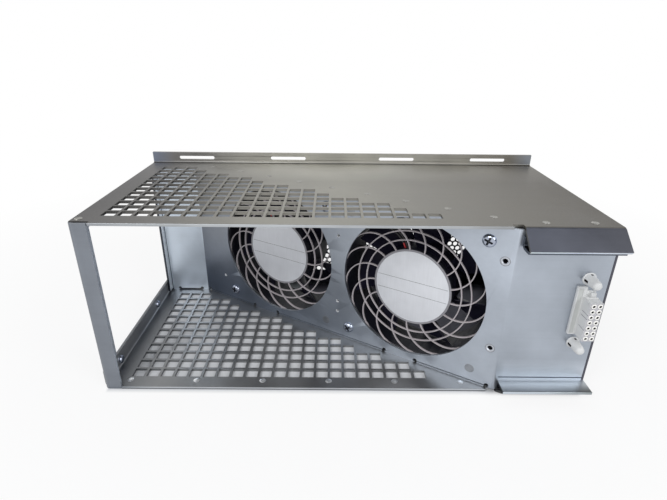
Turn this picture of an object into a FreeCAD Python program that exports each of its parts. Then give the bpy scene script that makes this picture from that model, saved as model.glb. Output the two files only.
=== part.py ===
import FreeCAD, Part
import math
import os
import re
import Sketcher

Vector = FreeCAD.Vector
X, Y, Z = Vector(1, 0, 0), Vector(0, 1, 0), Vector(0, 0, 1)

# Driving dimensions in millimetres and degrees.
# The tray frame has x from the left side, y from the rear edge towards the front, z from the underside.
DIMENSIONS = {
    # Tray outline, a 3U chassis of bent sheet
    "tray_width": 355.8,
    "tray_depth": 160.7,
    "tray_height": 132.5,
    "gauge": 2.0,
    "bend_radius": 1.5,
    "bend_relief": 1.0,
    # Upturned lip on the top plate and its fastening slots
    "lip_height": 9.8,
    "slot_length": 33.0,
    "slot_width": 3.0,
    "slot_rise": 4.7,
    "outer_slot_spacing": 274.0,
    "inner_slot_spacing": 102.0,
    # Grid of square air holes in the top and bottom plates
    "grid_hole": 9.0,
    "grid_pitch": 10.9,
    "grid_first_x": 15.5,
    "grid_floor_y": 12.0,
    "grid_top_y": 14.0,
    "grid_rows": 12,
    "grid_margin": 4.0,
    # Slanted fan plate, the left wall and the connector panel, one bent sheet
    "slant": 31.05,
    "bend_x": 289.55,
    "left_wall_y": 149.5,
    "wall_return": 7.0,
    "plate_flange": 15.0,
    "flange_inset": 9.0,
    "panel_gap": 1.7,
    "fan_opening": 115.0,
    "fan_first": 71.2,
    "fan_pitch": 127.6,
    "screw_square": 105.0,
    "slit": 1.6,
    "slit_end": 1.7,
    "foot_slit_start": 12.0,
    "foot_slit_end": 34.7,
    "lead_hole": 3.0,
    # Tapered nose around the connector panel
    "nose_start": 291.8,
    "nose_reach": 13.9,
    "nose_drop": 11.45,
    "upper_ledge_z": 117.9,
    "upper_ledge_reach": 11.0,
    "notch_start": 284.8,
    "notch_depth": 4.0,
    # Corner post, rail and side panel
    "post_width": 12.35,
    "post_return": 22.0,
    "post_tongue": 16.0,
    "post_top": 132.0,
    "post_notch": 3.0,
    "post_gap": 0.8,
    "rail_height": 14.0,
    "side_gauge": 1.5,
    "side_flange": 14.0,
    "side_flange_start": 18.0,
    # Front cover pan and the perforated screen in its window
    "cover_front": 174.0,
    "cover_gauge": 1.5,
    "cover_back": 162.8,
    "window_margin_x": 20.0,
    "window_margin_z": 14.0,
    "screen_overlap": 8.0,
    "screen_gauge": 1.0,
    "screen_columns": 12,
    "screen_rows": 3,
    "screen_bar": 5.0,
    "tongue_left": 128.0,
    "tongue_right": 277.5,
    "tongue_width": 30.0,
    "tongue_reach": 16.0,
    # Rivets, screws, studs and clinch nuts
    "rivet_radius": 2.5,
    "rivet_rise": 0.3,
    "rivet_pitch": 31.6,
    "rivet_first": 20.0,
    "rivet_back": 8.6,
    "floor_rivet_first": 16.2,
    "floor_rivet_pitch": 50.3,
    "rear_rivet_y": 8.0,
    "screw_head_radius": 4.8,
    "screw_head_height": 2.4,
    "screw_shank_radius": 2.0,
    "screw_length": 9.0,
    "hole_play": 0.25,
    "stud_radius": 2.1,
    "rail_screw_radius": 3.4,
    "rail_screw_z": 7.2,
    "nut_radius": 3.65,
    "nut_step": 0.7,
    "nut_bore": 1.65,
    "nut_length": 5.0,
    "nut_along": 6.5,
    "nut_low": 36.8,
    "nut_spacing": 69.7,
    # Blind-mate connector, two columns of contacts
    "connector_x": 343.0,
    "connector_z": 69.0,
    "connector_width": 9.6,
    "connector_height": 29.4,
    "connector_reach": 12.5,
    "connector_back": 14.0,
    "connector_flange": 2.5,
    "flange_left": 333.8,
    "flange_right": 348.6,
    "flange_low": 53.4,
    "flange_high": 90.6,
    "latch_width": 7.4,
    "latch_rise": 3.8,
    "latch_reach": 6.6,
    "contact_pitch": 4.2,
    "contact_rows": 7,
    "contact_hole": 1.9,
    "contact_depth": 8.0,
    "guide_spacing": 50.7,
    "guide_collar": 4.6,
    "guide_waist": 3.4,
    "guide_shoulder": 4.4,
    "guide_tip": 2.2,
    "guide_collar_end": 1.2,
    "guide_waist_end": 2.4,
    "guide_shoulder_end": 4.0,
    "guide_reach": 13.6,
    # Fan frame; fan heights run from the label side into the tray
    "fan_side": 119.5,
    "fan_depth": 38.0,
    "fan_flange": 5.0,
    "fan_corner": 5.0,
    "barrel_radius": 61.5,
    "bore_radius": 58.0,
    "inlet_radius": 59.4,
    "inlet_depth": 4.0,
    "seat_radius": 59.25,
    "seat_depth": 4.2,
    "corner_hole_radius": 2.2,
    "lead_slot": 13.0,
    # Spiral guard and motor base
    "guard_face": 1.0,
    "guard_back": 4.2,
    "rim_inner": 57.7,
    "rim_outer": 59.2,
    "spoke_count": 17,
    "spoke_width": 1.3,
    "cell_steps": 2,
    "spoke_start": 167.5,
    "spoke_mid_sweep": 8.2,
    "spoke_sweep": 26.3,
    "inner_ring": 38.8,
    "outer_ring": 46.1,
    "base_radius": 31.5,
    "base_wall": 29.4,
    "base_face": 1.4,
    "base_back": 3.2,
    "base_skirt": 7.0,
    "lead_door": 5.0,
    "label_radius": 30.0,
    "label_face": 1.15,
    # Bearings, tube and shaft
    "tube_radius": 6.0,
    "tube_end": 29.0,
    "tube_stop_radius": 3.6,
    "tube_stop_low": 11.0,
    "tube_stop_high": 22.0,
    "bearing_radius": 4.5,
    "bearing_bore": 2.05,
    "bearing_low": 6.4,
    "bearing_low_end": 10.4,
    "bearing_high": 22.0,
    "bearing_high_end": 26.0,
    "washer_bore": 3.0,
    "washer_radius": 4.4,
    "shaft_radius": 2.0,
    "shaft_low": 4.6,
    "shaft_high": 34.5,
    "groove_radius": 1.6,
    "groove_low": 5.1,
    "groove_high": 5.8,
    "clip_radius": 3.2,
    # Motor
    "board_radius": 27.0,
    "board_low": 4.4,
    "board_high": 5.6,
    "core_low": 12.0,
    "core_high": 26.0,
    "core_hub_radius": 10.0,
    "pole_count": 4,
    "pole_start": 45.0,
    "pole_width": 5.0,
    "shoe_inner": 20.0,
    "shoe_outer": 23.8,
    "shoe_span": 68.0,
    "coil_width": 11.0,
    "coil_inner": 10.8,
    "coil_outer": 18.8,
    "coil_overhang": 2.2,
    "magnet_inner": 24.4,
    "magnet_low": 10.0,
    "magnet_high": 29.0,
    "yoke_inner": 26.4,
    "yoke_radius": 27.9,
    "yoke_low": 8.8,
    "yoke_end": 31.5,
    "yoke_high": 33.0,
    # Impeller
    "hub_inner": 28.0,
    "hub_radius": 31.0,
    "hub_low": 8.6,
    "hub_high": 36.0,
    "hub_bevel_radius": 28.6,
    "hub_bevel_low": 34.0,
    "blade_count": 7,
    "blade_tip": 56.6,
    "blade_low": 9.6,
    "blade_high": 33.4,
    "blade_root_plane": 28.4,
    "blade_tip_plane": 58.0,
    "blade_root_run": 15.0,
    "blade_tip_run": 36.0,
    "blade_tip_lag": 8.0,
    "blade_camber": 3.0,
    "blade_thickness": 2.0,
    "blade_points": 4,
    # Chips on the circuit board
    "chip_length": 6.0,
    "chip_width": 5.0,
    "chip_height": 1.4,
    # Leads beside one spoke
    "lead_width": 1.4,
    "lead_low": 4.3,
    "lead_high": 5.7,
    "lead_spread": 1.7,
    "lead_shift": 7.5,
    "lead_steps": 4,
    "lead_spoke": 4,
    # Sides of the round pieces that repeat, kept few: fasteners and their holes, motor pieces, fan rims
    "small_sides": 8,
    "motor_sides": 20,
    "round_sides": 40,
}

doc = FreeCAD.newDocument("fan_tray")
dims = doc.addObject("Spreadsheet::Sheet", "Dims")
for row, (alias, value) in enumerate(DIMENSIONS.items(), 1):
    dims.set(f"A{row}", alias.replace("_", " "))
    dims.set(f"B{row}", str(value))
    dims.setAlias(f"B{row}", alias)
doc.recompute()


def dim(alias):
    """Value of one named cell."""
    return float(dims.get(alias))


def formula(text):
    """Turn the sheet's names in a formula into references to its cells."""
    def reference(match):
        word = match.group()
        return "Dims." + word if word in DIMENSIONS else word
    return re.sub(r"[a-z_]+", reference, text)


GAUGE = dim("gauge")
BEND = dim("bend_radius")
WIDTH = dim("tray_width")
DEPTH = dim("tray_depth")
HEIGHT = dim("tray_height")
SLANT = math.radians(dim("slant"))
ROOF = HEIGHT - GAUGE
FAN_Z = HEIGHT / 2
FAN_STATIONS = {"right": dim("fan_first"), "left": dim("fan_first") + dim("fan_pitch")}

# The origin is under the middle of the whole outline
tray_place = FreeCAD.Placement(
    Vector(-WIDTH / 2, -(dim("cover_front") - dim("nose_reach")) / 2, 0), FreeCAD.Rotation())
# The fan plate's own frame: along the plate from its right bend, up, and through the plate to the front
plate_frame = FreeCAD.Placement(
    Vector(dim("bend_x"), 0, 0),
    FreeCAD.Rotation(Vector(-math.cos(SLANT), math.sin(SLANT), 0), Z,
                     Vector(math.sin(SLANT), math.cos(SLANT), 0), "ZXY"))
plate_place = tray_place.multiply(plate_frame)

nodes = []


def node(item, label, place):
    """Name a finished sub-part and put it in its place."""
    item.Label = label
    item.Placement = place
    nodes.append(item)


def solid_node(label, shape, place):
    """A sub-part whose shape is worked out from the sheet in code."""
    item = doc.addObject("Part::Feature", label)
    item.Shape = shape
    node(item, label, place)


def box(name, corner, size):
    """A block whose lowest corner and size are formulas of the sheet."""
    block = doc.addObject("Part::Box", name)
    for name_of_side, text in zip(("Length", "Width", "Height"), size):
        block.setExpression(name_of_side, formula(text))
    for axis, text in zip("xyz", corner):
        block.setExpression("Placement.Base." + axis, formula(text))
    return block


def rod(name, radius, low, high):
    """A round piece about the local Z axis, with few sides, from one height to another."""
    item = doc.addObject("Part::Prism", name)
    item.setExpression("Polygon", formula("motor_sides"))
    item.setExpression("Circumradius", formula(radius))
    item.setExpression("Height", formula(f"{high} - ({low})"))
    item.setExpression("Placement.Base.z", formula(low))
    return item


def fuse(name, pieces):
    joined = doc.addObject("Part::MultiFuse", name)
    joined.Shapes = pieces
    joined.Refine = True
    return joined


def cut(name, base, tool):
    remainder = doc.addObject("Part::Cut", name)
    remainder.Base = base
    remainder.Tool = tool
    return remainder


def group(name, pieces):
    """Pieces kept apart under one name, so that they can be placed together."""
    compound = doc.addObject("Part::Compound", name)
    compound.Links = pieces
    return compound


def feature(name, shape):
    """A helper shape, worked out from the sheet in code, for a boolean."""
    item = doc.addObject("Part::Feature", name)
    item.Shape = shape
    return item


def turned(name, profile):
    """A body revolved about Z. Each corner of the profile names the cells of its radius and height;
    a radius of None lies on the axis."""
    body = doc.addObject("PartDesign::Body", name)
    sketch = body.newObject("Sketcher::SketchObject", name + "_profile")
    plane = next(item for item in body.Origin.OriginFeatures if item.Role == "XZ_Plane")
    sketch.AttachmentSupport = [(plane, "")]
    sketch.MapMode = "FlatFace"
    corners = [Vector(dim(radius) if radius else 0, dim(height), 0) for radius, height in profile]
    count = len(corners)
    for index in range(count):
        sketch.addGeometry(Part.LineSegment(corners[index], corners[(index + 1) % count]), False)
    for index in range(count):
        sketch.addConstraint(Sketcher.Constraint("Coincident", index, 2, (index + 1) % count, 1))
    for index, (radius, height) in enumerate(profile):
        if radius:
            pin = sketch.addConstraint(Sketcher.Constraint("DistanceX", -1, 1, index, 1, corners[index].x))
            sketch.setExpression(f"Constraints[{pin}]", formula(radius))
        else:
            sketch.addConstraint(Sketcher.Constraint("PointOnObject", index, 1, -2))
        pin = sketch.addConstraint(Sketcher.Constraint("DistanceY", -1, 1, index, 1, corners[index].y))
        sketch.setExpression(f"Constraints[{pin}]", formula(height))
    revolution = body.newObject("PartDesign::Revolution", name + "_turn")
    revolution.Profile = sketch
    revolution.ReferenceAxis = (sketch, ["V_Axis"])
    revolution.Angle = 360
    return body


def ring(name, inner, outer, low, high):
    """A flat ring about the local Z axis."""
    hole = rod(name + "_hole", inner, low, high)
    return cut(name, rod(name + "_disc", outer, low, high), hole)


def bent_sheet(points, gauge, axes, start, end):
    """A sheet bent along a line of points, with rounded bends, drawn in the plane of the first two axes
    and as wide as start to end along the third. A positive gauge lies to the left of the line."""
    across, upward, along = axes
    line = [Vector(a, b, 0) for a, b in points]

    def side(direction):
        return Vector(-direction.y, direction.x, 0)

    def lift(point):
        return across * point.x + upward * point.y + along * start

    def straight(path, target):
        path["edges"].append(Part.LineSegment(lift(path["at"]), lift(target)).toShape())
        path["at"] = target

    def bow(path, middle, target):
        path["edges"].append(Part.Arc(lift(path["at"]), lift(middle), lift(target)).toShape())
        path["at"] = target

    steps = [(b - a).normalize() for a, b in zip(line, line[1:])]
    near = {"at": line[0], "edges": []}
    far = {"at": line[0] + side(steps[0]) * gauge, "edges": []}
    ends = [Part.LineSegment(lift(near["at"]), lift(far["at"])).toShape()]
    for corner, before, after in zip(line[1:], steps, steps[1:]):
        turn = math.atan2(before.cross(after).z, before.dot(after))
        towards = math.copysign(1, turn)
        inside = towards * gauge > 0
        radius = BEND + abs(gauge) if inside else BEND
        reach = radius * math.tan(abs(turn) / 2)
        first, last = corner - before * reach, corner + after * reach
        centre = first + side(before) * radius * towards
        outward = (corner - centre).normalize()
        for path, shift, size in ((near, 0, radius), (far, gauge, radius - towards * gauge)):
            straight(path, first + side(before) * shift)
            bow(path, centre + outward * size, last + side(after) * shift)
    straight(near, line[-1])
    straight(far, line[-1] + side(steps[-1]) * gauge)
    ends.append(Part.LineSegment(lift(near["at"]), lift(far["at"])).toShape())
    edges = Part.__sortEdges__(near["edges"] + far["edges"] + ends)
    return Part.Face(Part.Wire(edges)).extrude(along * (end - start))


def block(low, high):
    return Part.makeBox(*(high - low), low)


def prism(radius, length, place, axis=Z, sides="small_sides"):
    """A round piece or drill with as many sides as a cell says."""
    count = int(dim(sides))
    corners = [polar(radius, index * 360 / count, 0) for index in range(count + 1)]
    shape = Part.Face(Part.makePolygon(corners)).extrude(Z * length)
    shape.Placement = FreeCAD.Placement(place, FreeCAD.Rotation(Z, axis))
    return shape


def drum(radius, low, high):
    """A wide round solid about the local Z axis, from one height to another."""
    return prism(radius, high - low, Z * low, Z, "round_sides")


def tapered(stations, sides):
    """A solid about the local Z axis that runs straight from one radius and height to the next."""
    count = int(dim(sides))
    rings = [Part.makePolygon([polar(radius, index * 360 / count, height) for index in range(count + 1)])
             for radius, height in stations]
    return Part.makeLoft(rings, True, True)


def polar(radius, degrees, height):
    angle = math.radians(degrees)
    return Vector(radius * math.cos(angle), radius * math.sin(angle), height)


def grid_holes(first_y, low, high):
    """Square holes in rows, each row ending short of the slanted fan plate."""
    hole, pitch, first_x = dim("grid_hole"), dim("grid_pitch"), dim("grid_first_x")
    holes = []
    for row in range(int(dim("grid_rows"))):
        near = first_y + row * pitch
        limit = dim("bend_x") - (near + hole) / math.tan(SLANT) - dim("grid_margin")
        for column in range(int((limit - first_x + pitch - hole) / pitch)):
            corner = Vector(first_x + column * pitch, near, low)
            holes.append(block(corner, corner + Vector(hole, hole, high - low)))
    return Part.Compound(holes)


def obround(length, width, depth):
    """A slot tool with round ends, along X and centred, cutting along Y."""
    radius, half = width / 2, (length - width) / 2
    high_left, high_right = Vector(-half, 0, radius), Vector(half, 0, radius)
    low_left, low_right = Vector(-half, 0, -radius), Vector(half, 0, -radius)
    outline = [Part.LineSegment(high_left, high_right), Part.Arc(high_right, X * (length / 2), low_right),
               Part.LineSegment(low_right, low_left), Part.Arc(low_left, X * (-length / 2), high_left)]
    return Part.Face(Part.Wire([curve.toShape() for curve in outline])).extrude(Y * depth)


# Top plate: grid, upturned slotted lip at the front, bent-down nose at the right rear, notch for the post
def top_plate():
    reach, drop = dim("nose_reach"), dim("nose_drop")
    lip = [(DEPTH, HEIGHT), (DEPTH, HEIGHT + dim("lip_height"))]
    axes, notch_start, nose_start = (Y, Z, X), dim("notch_start"), dim("nose_start")
    main = bent_sheet([(0, HEIGHT)] + lip, -GAUGE, axes, 0, notch_start)
    relief = bent_sheet([(dim("notch_depth"), HEIGHT)] + lip, -GAUGE, axes, notch_start, nose_start)
    nose = bent_sheet([(-reach, HEIGHT - drop), (0, HEIGHT)] + lip, -GAUGE, axes, nose_start, WIDTH)
    plate = main.multiFuse([relief, nose]).removeSplitter()
    slots = []
    for spacing in (dim("outer_slot_spacing"), dim("inner_slot_spacing")):
        for centre in (WIDTH / 2 - spacing / 2, WIDTH / 2 + spacing / 2):
            slot = obround(dim("slot_length"), dim("slot_width"), GAUGE * 3)
            slot.translate(Vector(centre, DEPTH - GAUGE, HEIGHT + dim("slot_rise")))
            slots.append(slot)
    notch = block(Vector(-1, -1, ROOF - 1),
                  Vector(dim("post_width") + dim("post_gap"), dim("post_notch"), HEIGHT + 1))
    plate = plate.cut(Part.Compound(slots + [notch]))
    solid_node("top_plate", plate.cut(grid_holes(dim("grid_top_y"), ROOF - 1, HEIGHT + 1)), tray_place)


# Bottom plate: the same grid, a low rail on the left edge, the nose's lower slope
def bottom_plate():
    reach, start, notch = dim("nose_reach"), dim("nose_start"), dim("notch_depth")
    ledge_low = dim("nose_drop") - GAUGE
    slope = math.hypot(reach, ledge_low)
    tip_z = ledge_low - GAUGE * reach / slope
    tip_y = -reach * tip_z / ledge_low
    floor = block(Vector(dim("rail_height"), 0, 0), Vector(WIDTH, DEPTH + GAUGE, GAUGE))
    front = block(Vector(0, dim("left_wall_y"), 0), Vector(dim("rail_height"), DEPTH + GAUGE, GAUGE))
    rail = bent_sheet([(0, dim("rail_height")), (0, 0), (dim("rail_height"), 0)], GAUGE, (X, Z, Y),
                      GAUGE, dim("left_wall_y"))
    heel = block(Vector(dim("post_width") + dim("hole_play"), 0, 0), Vector(dim("rail_height"), GAUGE, GAUGE))
    nose = bent_sheet([(tip_y, tip_z), (0, 0), (reach, 0)], GAUGE, (Y, Z, X), start, WIDTH)
    relief = block(Vector(dim("notch_start"), -1, -1), Vector(start, notch, GAUGE + 1))
    under_nose = block(Vector(start, -1, -1), Vector(WIDTH + 1, notch * 2, GAUGE + 1))
    plate = floor.cut(under_nose).multiFuse([front, rail, heel, nose]).removeSplitter().cut(relief)
    solid_node("bottom_plate", plate.cut(grid_holes(dim("grid_floor_y"), -1, GAUGE + 1)), tray_place)


def nose_relief(start):
    """Room for the nose's two bends along the top and bottom edges of an upright sheet."""
    relief = dim("bend_relief")
    return Part.Compound([block(Vector(start, -1, low), Vector(WIDTH + 1, GAUGE, low + relief))
                          for low in (GAUGE, ROOF - relief)])


# Marks on the fan plate, in the plate's own frame: distance along it and height
SLITS = ((4.6, 61.9), (89.3, 200.5), (227.6, 287.0))
LEAD_HOLES = ((135.0, 96.5), (135.0, 36.4), (135.0, 26.5), (263.3, 26.2))
SCREW_CORNERS = ((-1, 1), (1, -1))
STUD_CORNERS = ((-1, -1), (1, 1))
RAIL_SCREWS = (26.0, 111.0)


def fan_corners(corners):
    """Places of the chosen fan corner holes on the fan plate."""
    half = dim("screw_square") / 2
    for station in FAN_STATIONS.values():
        for along, up in corners:
            yield station + along * half, FAN_Z + up * half


def nut_places():
    for height in (dim("nut_low"), dim("nut_low") + dim("nut_spacing")):
        yield dim("nut_along"), height


def plate_drill(radius, along, height):
    return prism(radius, GAUGE * 3, Vector(along, height, -GAUGE))


# Fan plate: left wall with a narrow return, slanted fan wall and connector panel bent from one sheet
def fan_plate():
    wall_y = dim("left_wall_y")
    wall_x = dim("bend_x") - wall_y / math.tan(SLANT)
    panel_end, wall_end = WIDTH - dim("panel_gap"), GAUGE * 2 + dim("hole_play")
    line = [(panel_end, 0), (dim("bend_x"), 0), (wall_x, wall_y), (wall_end, wall_y),
            (wall_end, wall_y - dim("wall_return"))]
    sheet = bent_sheet(line, -GAUGE, (X, Y, Z), GAUGE, ROOF)
    length, inset, reach = wall_y / math.sin(SLANT), dim("flange_inset"), dim("plate_flange")
    flange = block(Vector(inset, ROOF - GAUGE, 0), Vector(length - inset, ROOF, reach))
    flange.Placement = plate_frame
    panel_flanges = [block(Vector(dim("bend_x") + inset, 0, low), Vector(panel_end, reach, low + GAUGE))
                     for low in (GAUGE, ROOF - GAUGE)]
    sheet = sheet.multiFuse([flange] + panel_flanges).removeSplitter()

    tools = [Part.makeCylinder(dim("fan_opening") / 2, GAUGE * 3, Vector(station, FAN_Z, -GAUGE))
             for station in FAN_STATIONS.values()]
    tools += [plate_drill(dim("nut_radius"), *place) for place in nut_places()]
    tools += [plate_drill(dim("lead_hole") / 2, *place) for place in LEAD_HOLES]
    screw_hole = dim("screw_shank_radius") + dim("hole_play")
    tools += [plate_drill(screw_hole, *place) for place in fan_corners(SCREW_CORNERS)]
    for start, end in SLITS:
        tools.append(block(Vector(start, GAUGE - 1, -GAUGE), Vector(end, GAUGE + dim("slit"), GAUGE * 2)))
        tools += [plate_drill(dim("slit_end"), place, GAUGE + dim("slit_end")) for place in (start, end)]
    cuts = Part.Compound(tools)
    cuts.Placement = plate_frame
    centre = Vector(dim("connector_x"), GAUGE / 2, dim("connector_z"))
    half_size = Vector(dim("connector_width") / 2, GAUGE, dim("connector_height") / 2)
    socket = block(centre - half_size, centre + half_size)
    slit_start, slit_end = dim("foot_slit_start"), dim("foot_slit_end")
    foot_slit = [block(Vector(slit_start, wall_y - 1, GAUGE - 1),
                       Vector(slit_end, wall_y + GAUGE + 1, GAUGE + dim("slit")))]
    foot_slit += [prism(dim("slit_end"), GAUGE * 3, Vector(x, wall_y - GAUGE, GAUGE + dim("slit_end")), Y)
                  for x in (slit_start, slit_end)]
    over_rail = block(Vector(0, 0, 0), Vector(wall_end + BEND, wall_y, GAUGE + BEND))
    sheet = sheet.cut(cuts).cut(socket).cut(Part.Compound(foot_slit)).cut(over_rail)
    solid_node("fan_plate", sheet.cut(nose_relief(dim("bend_x") + GAUGE)), tray_place)


# Left corner post: a strip up into the top plate's notch, with a side return and a tongue under the plate
def left_post():
    width, rail_top = dim("post_width"), dim("rail_height") + dim("hole_play")
    strip = [(width, 0), (0, 0), (0, dim("post_return"))]
    upper = bent_sheet(strip, -GAUGE, (X, Y, Z), rail_top, dim("post_top"))
    under_plate = block(Vector(-1, dim("post_notch") - dim("hole_play"), ROOF),
                        Vector(width, dim("post_return") + 1, HEIGHT))
    foot = bent_sheet(strip, -GAUGE, (X, Y, Z), 0, rail_top)
    foot = foot.common(block(Vector(0, 0, 0), Vector(width, GAUGE, rail_top)))
    tongue = block(Vector(GAUGE, GAUGE, ROOF - GAUGE), Vector(width, dim("post_tongue"), ROOF))
    post = upper.cut(under_plate).multiFuse([foot, tongue])
    solid_node("left_post", post.removeSplitter(), tray_place)


# Right side panel with inward flanges above and below
def right_side_panel():
    gauge, flange = dim("side_gauge"), dim("side_flange")
    channel = [(WIDTH - flange, ROOF), (WIDTH, ROOF), (WIDTH, GAUGE), (WIDTH - flange, GAUGE)]
    folded = bent_sheet(channel, -gauge, (X, Z, Y), dim("side_flange_start"), DEPTH + GAUGE)
    flat = block(Vector(WIDTH - gauge, 0, GAUGE), Vector(WIDTH, dim("side_flange_start"), ROOF))
    panel = folded.fuse(flat).removeSplitter()
    solid_node("right_side_panel", panel.cut(nose_relief(WIDTH - flange)), tray_place)


# Ledges inside the nose: an angle below the connector panel's face and one above it
def nose_ledges():
    reach, drop = dim("nose_reach"), dim("nose_drop")
    start, end = dim("nose_start"), WIDTH
    sill = [(-reach, drop), (0, drop), (0, GAUGE * 3)]
    solid_node("lower_ledge", bent_sheet(sill, -GAUGE, (Y, Z, X), start, end), tray_place)
    level = dim("upper_ledge_z")
    upper = [(-dim("upper_ledge_reach"), level), (0, level), (0, ROOF - GAUGE * 2)]
    solid_node("upper_ledge", bent_sheet(upper, GAUGE, (Y, Z, X), start, end - dim("panel_gap")), tray_place)


def screen_windows():
    """The screen's openings, spread over the cover's window with a bar between neighbours."""
    columns, rows, bar = int(dim("screen_columns")), int(dim("screen_rows")), dim("screen_bar")
    left, low = dim("window_margin_x"), dim("window_margin_z")
    pitch_x, pitch_z = (WIDTH - 2 * left) / columns, (HEIGHT - 2 * low) / rows
    near, far = dim("cover_back"), dim("cover_front")
    return Part.Compound([
        block(Vector(left + column * pitch_x + bar / 2, near, low + row * pitch_z + bar / 2),
              Vector(left + (column + 1) * pitch_x - bar / 2, far, low + (row + 1) * pitch_z - bar / 2))
        for column in range(columns) for row in range(rows)])


# Front cover: a shallow pan with a window and four tongues that reach between the plates
def front_cover():
    shell = box("cover_shell", ("0", "cover_back", "0"),
                ("tray_width", "cover_front - cover_back", "tray_height"))
    hollow = box("cover_hollow", ("cover_gauge", "cover_back - 1", "cover_gauge"),
                 ("tray_width - 2 * cover_gauge", "cover_front - cover_back - cover_gauge + 1",
                  "tray_height - 2 * cover_gauge"))
    window = box("cover_window", ("window_margin_x", "cover_back", "window_margin_z"),
                 ("tray_width - 2 * window_margin_x", "cover_front - cover_back + 1",
                  "tray_height - 2 * window_margin_z"))
    pan = cut("cover_pan", shell, fuse("cover_openings", [hollow, window]))
    tongues = []
    for place, centre in (("left", "tongue_left"), ("right", "tongue_right")):
        for level, low in (("lower", "gauge"), ("upper", "tray_height - gauge - cover_gauge")):
            tongues.append(box(f"cover_tongue_{place}_{level}",
                               (f"{centre} - tongue_width / 2", "cover_back - tongue_reach", low),
                               ("tongue_width", "tongue_reach + cover_front - cover_back - cover_gauge",
                                "cover_gauge")))
    node(fuse("front_cover", [pan] + tongues), "front_cover", tray_place)
    screen = box("screen_sheet",
                 ("window_margin_x - screen_overlap", "cover_front - cover_gauge - screen_gauge",
                  "window_margin_z - screen_overlap"),
                 ("tray_width - 2 * (window_margin_x - screen_overlap)", "screen_gauge",
                  "tray_height - 2 * (window_margin_z - screen_overlap)"))
    windows = feature("screen_windows", screen_windows())
    node(cut("intake_screen", screen, windows), "intake_screen", tray_place)


# Rivets along the top plate's rear edge: one over the corner post, two behind the nose
REAR_RIVETS = (4.2, 308.0, 340.0)
TOP_RIVETS = 9
FLOOR_RIVETS = 6


# Rivet heads on the top plate and on the floor's rear margin
def rivets():
    radius, rise = dim("rivet_radius"), dim("rivet_rise")
    heads = []
    for index in range(TOP_RIVETS):
        along = dim("rivet_first") + index * dim("rivet_pitch")
        spot = plate_frame.multVec(Vector(along, HEIGHT, dim("rivet_back")))
        heads.append(prism(radius, rise, spot))
    for x in REAR_RIVETS:
        heads.append(prism(radius, rise, Vector(x, dim("rear_rivet_y"), HEIGHT)))
    solid_node("top_rivets", Part.Compound(heads), tray_place)
    floor = []
    for index in range(FLOOR_RIVETS):
        x = dim("floor_rivet_first") + index * dim("floor_rivet_pitch")
        floor.append(prism(radius, rise, Vector(x, dim("rear_rivet_y"), GAUGE)))
    solid_node("floor_rivets", Part.Compound(floor), tray_place)


# Fasteners: screws and locating studs that hold the fans, clinch nuts in the fan plate, rail screws
def fasteners():
    screws, studs, nuts, rail = [], [], [], []
    for along, height in fan_corners(SCREW_CORNERS):
        head = prism(dim("screw_head_radius"), dim("screw_head_height"),
                     Vector(along, height, -dim("screw_head_height")))
        shank = prism(dim("screw_shank_radius"), dim("screw_length"), Vector(along, height, 0))
        screws.append(head.fuse(shank))
    for along, height in fan_corners(STUD_CORNERS):
        studs.append(prism(dim("stud_radius"), dim("fan_flange"), Vector(along, height, GAUGE)))
    for along, height in nut_places():
        collar = prism(dim("nut_radius"), GAUGE, Vector(along, height, 0))
        barrel = prism(dim("nut_radius") - dim("nut_step"), dim("nut_length") - GAUGE,
                       Vector(along, height, GAUGE))
        bore = Part.makeCylinder(dim("nut_bore"), dim("nut_length"), Vector(along, height, 0))
        nuts.append(collar.fuse(barrel).cut(bore))
    for y in RAIL_SCREWS:
        spot = Vector(GAUGE, y, dim("rail_screw_z"))
        rail.append(prism(dim("rail_screw_radius"), dim("screw_head_height"), spot, X))
    for label, pieces, place in (("fan_screws", screws, plate_place), ("fan_studs", studs, plate_place),
                                 ("clinch_nuts", nuts, plate_place), ("rail_screws", rail, tray_place)):
        solid_node(label, Part.Compound(pieces), place)


# Blind-mate connector: housing through the panel, sockets in it, tapered guide pegs beside it
def connector():
    housing = box("connector_body",
                  ("connector_x - connector_width / 2", "-connector_reach",
                   "connector_z - connector_height / 2"),
                  ("connector_width", "connector_reach + connector_back", "connector_height"))
    flange = box("connector_flange_plate", ("flange_left", "-connector_flange", "flange_low"),
                 ("flange_right - flange_left", "connector_flange", "flange_high - flange_low"))
    latch = box("connector_latch",
                ("connector_x - connector_width / 2", "-latch_reach", "connector_z + connector_height / 2"),
                ("latch_width", "latch_reach", "latch_rise"))
    shell = fuse("connector_shell", [housing, flange, latch])
    pitch, side = dim("contact_pitch"), dim("contact_hole")
    rows = int(dim("contact_rows"))
    cavities, sockets = [], []
    for column in (-0.5, 0.5):
        for row in range(rows):
            centre = Vector(dim("connector_x") + column * pitch, -dim("connector_reach"),
                            dim("connector_z") + (row - (rows - 1) / 2) * pitch)
            corner = centre - Vector(side / 2, 1, side / 2)
            cavities.append(Part.makeBox(side, dim("contact_depth") + 1, side, corner))
            inner = centre + Vector(-side / 2, dim("contact_depth") / 2, -side / 2)
            sockets.append(Part.makeBox(side, dim("contact_depth") / 2, side, inner))
    node(cut("connector_housing", shell, feature("contact_cavities", Part.Compound(cavities))),
         "connector_housing", tray_place)
    solid_node("connector_contacts", Part.Compound(sockets), tray_place)
    guide_pegs()


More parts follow.
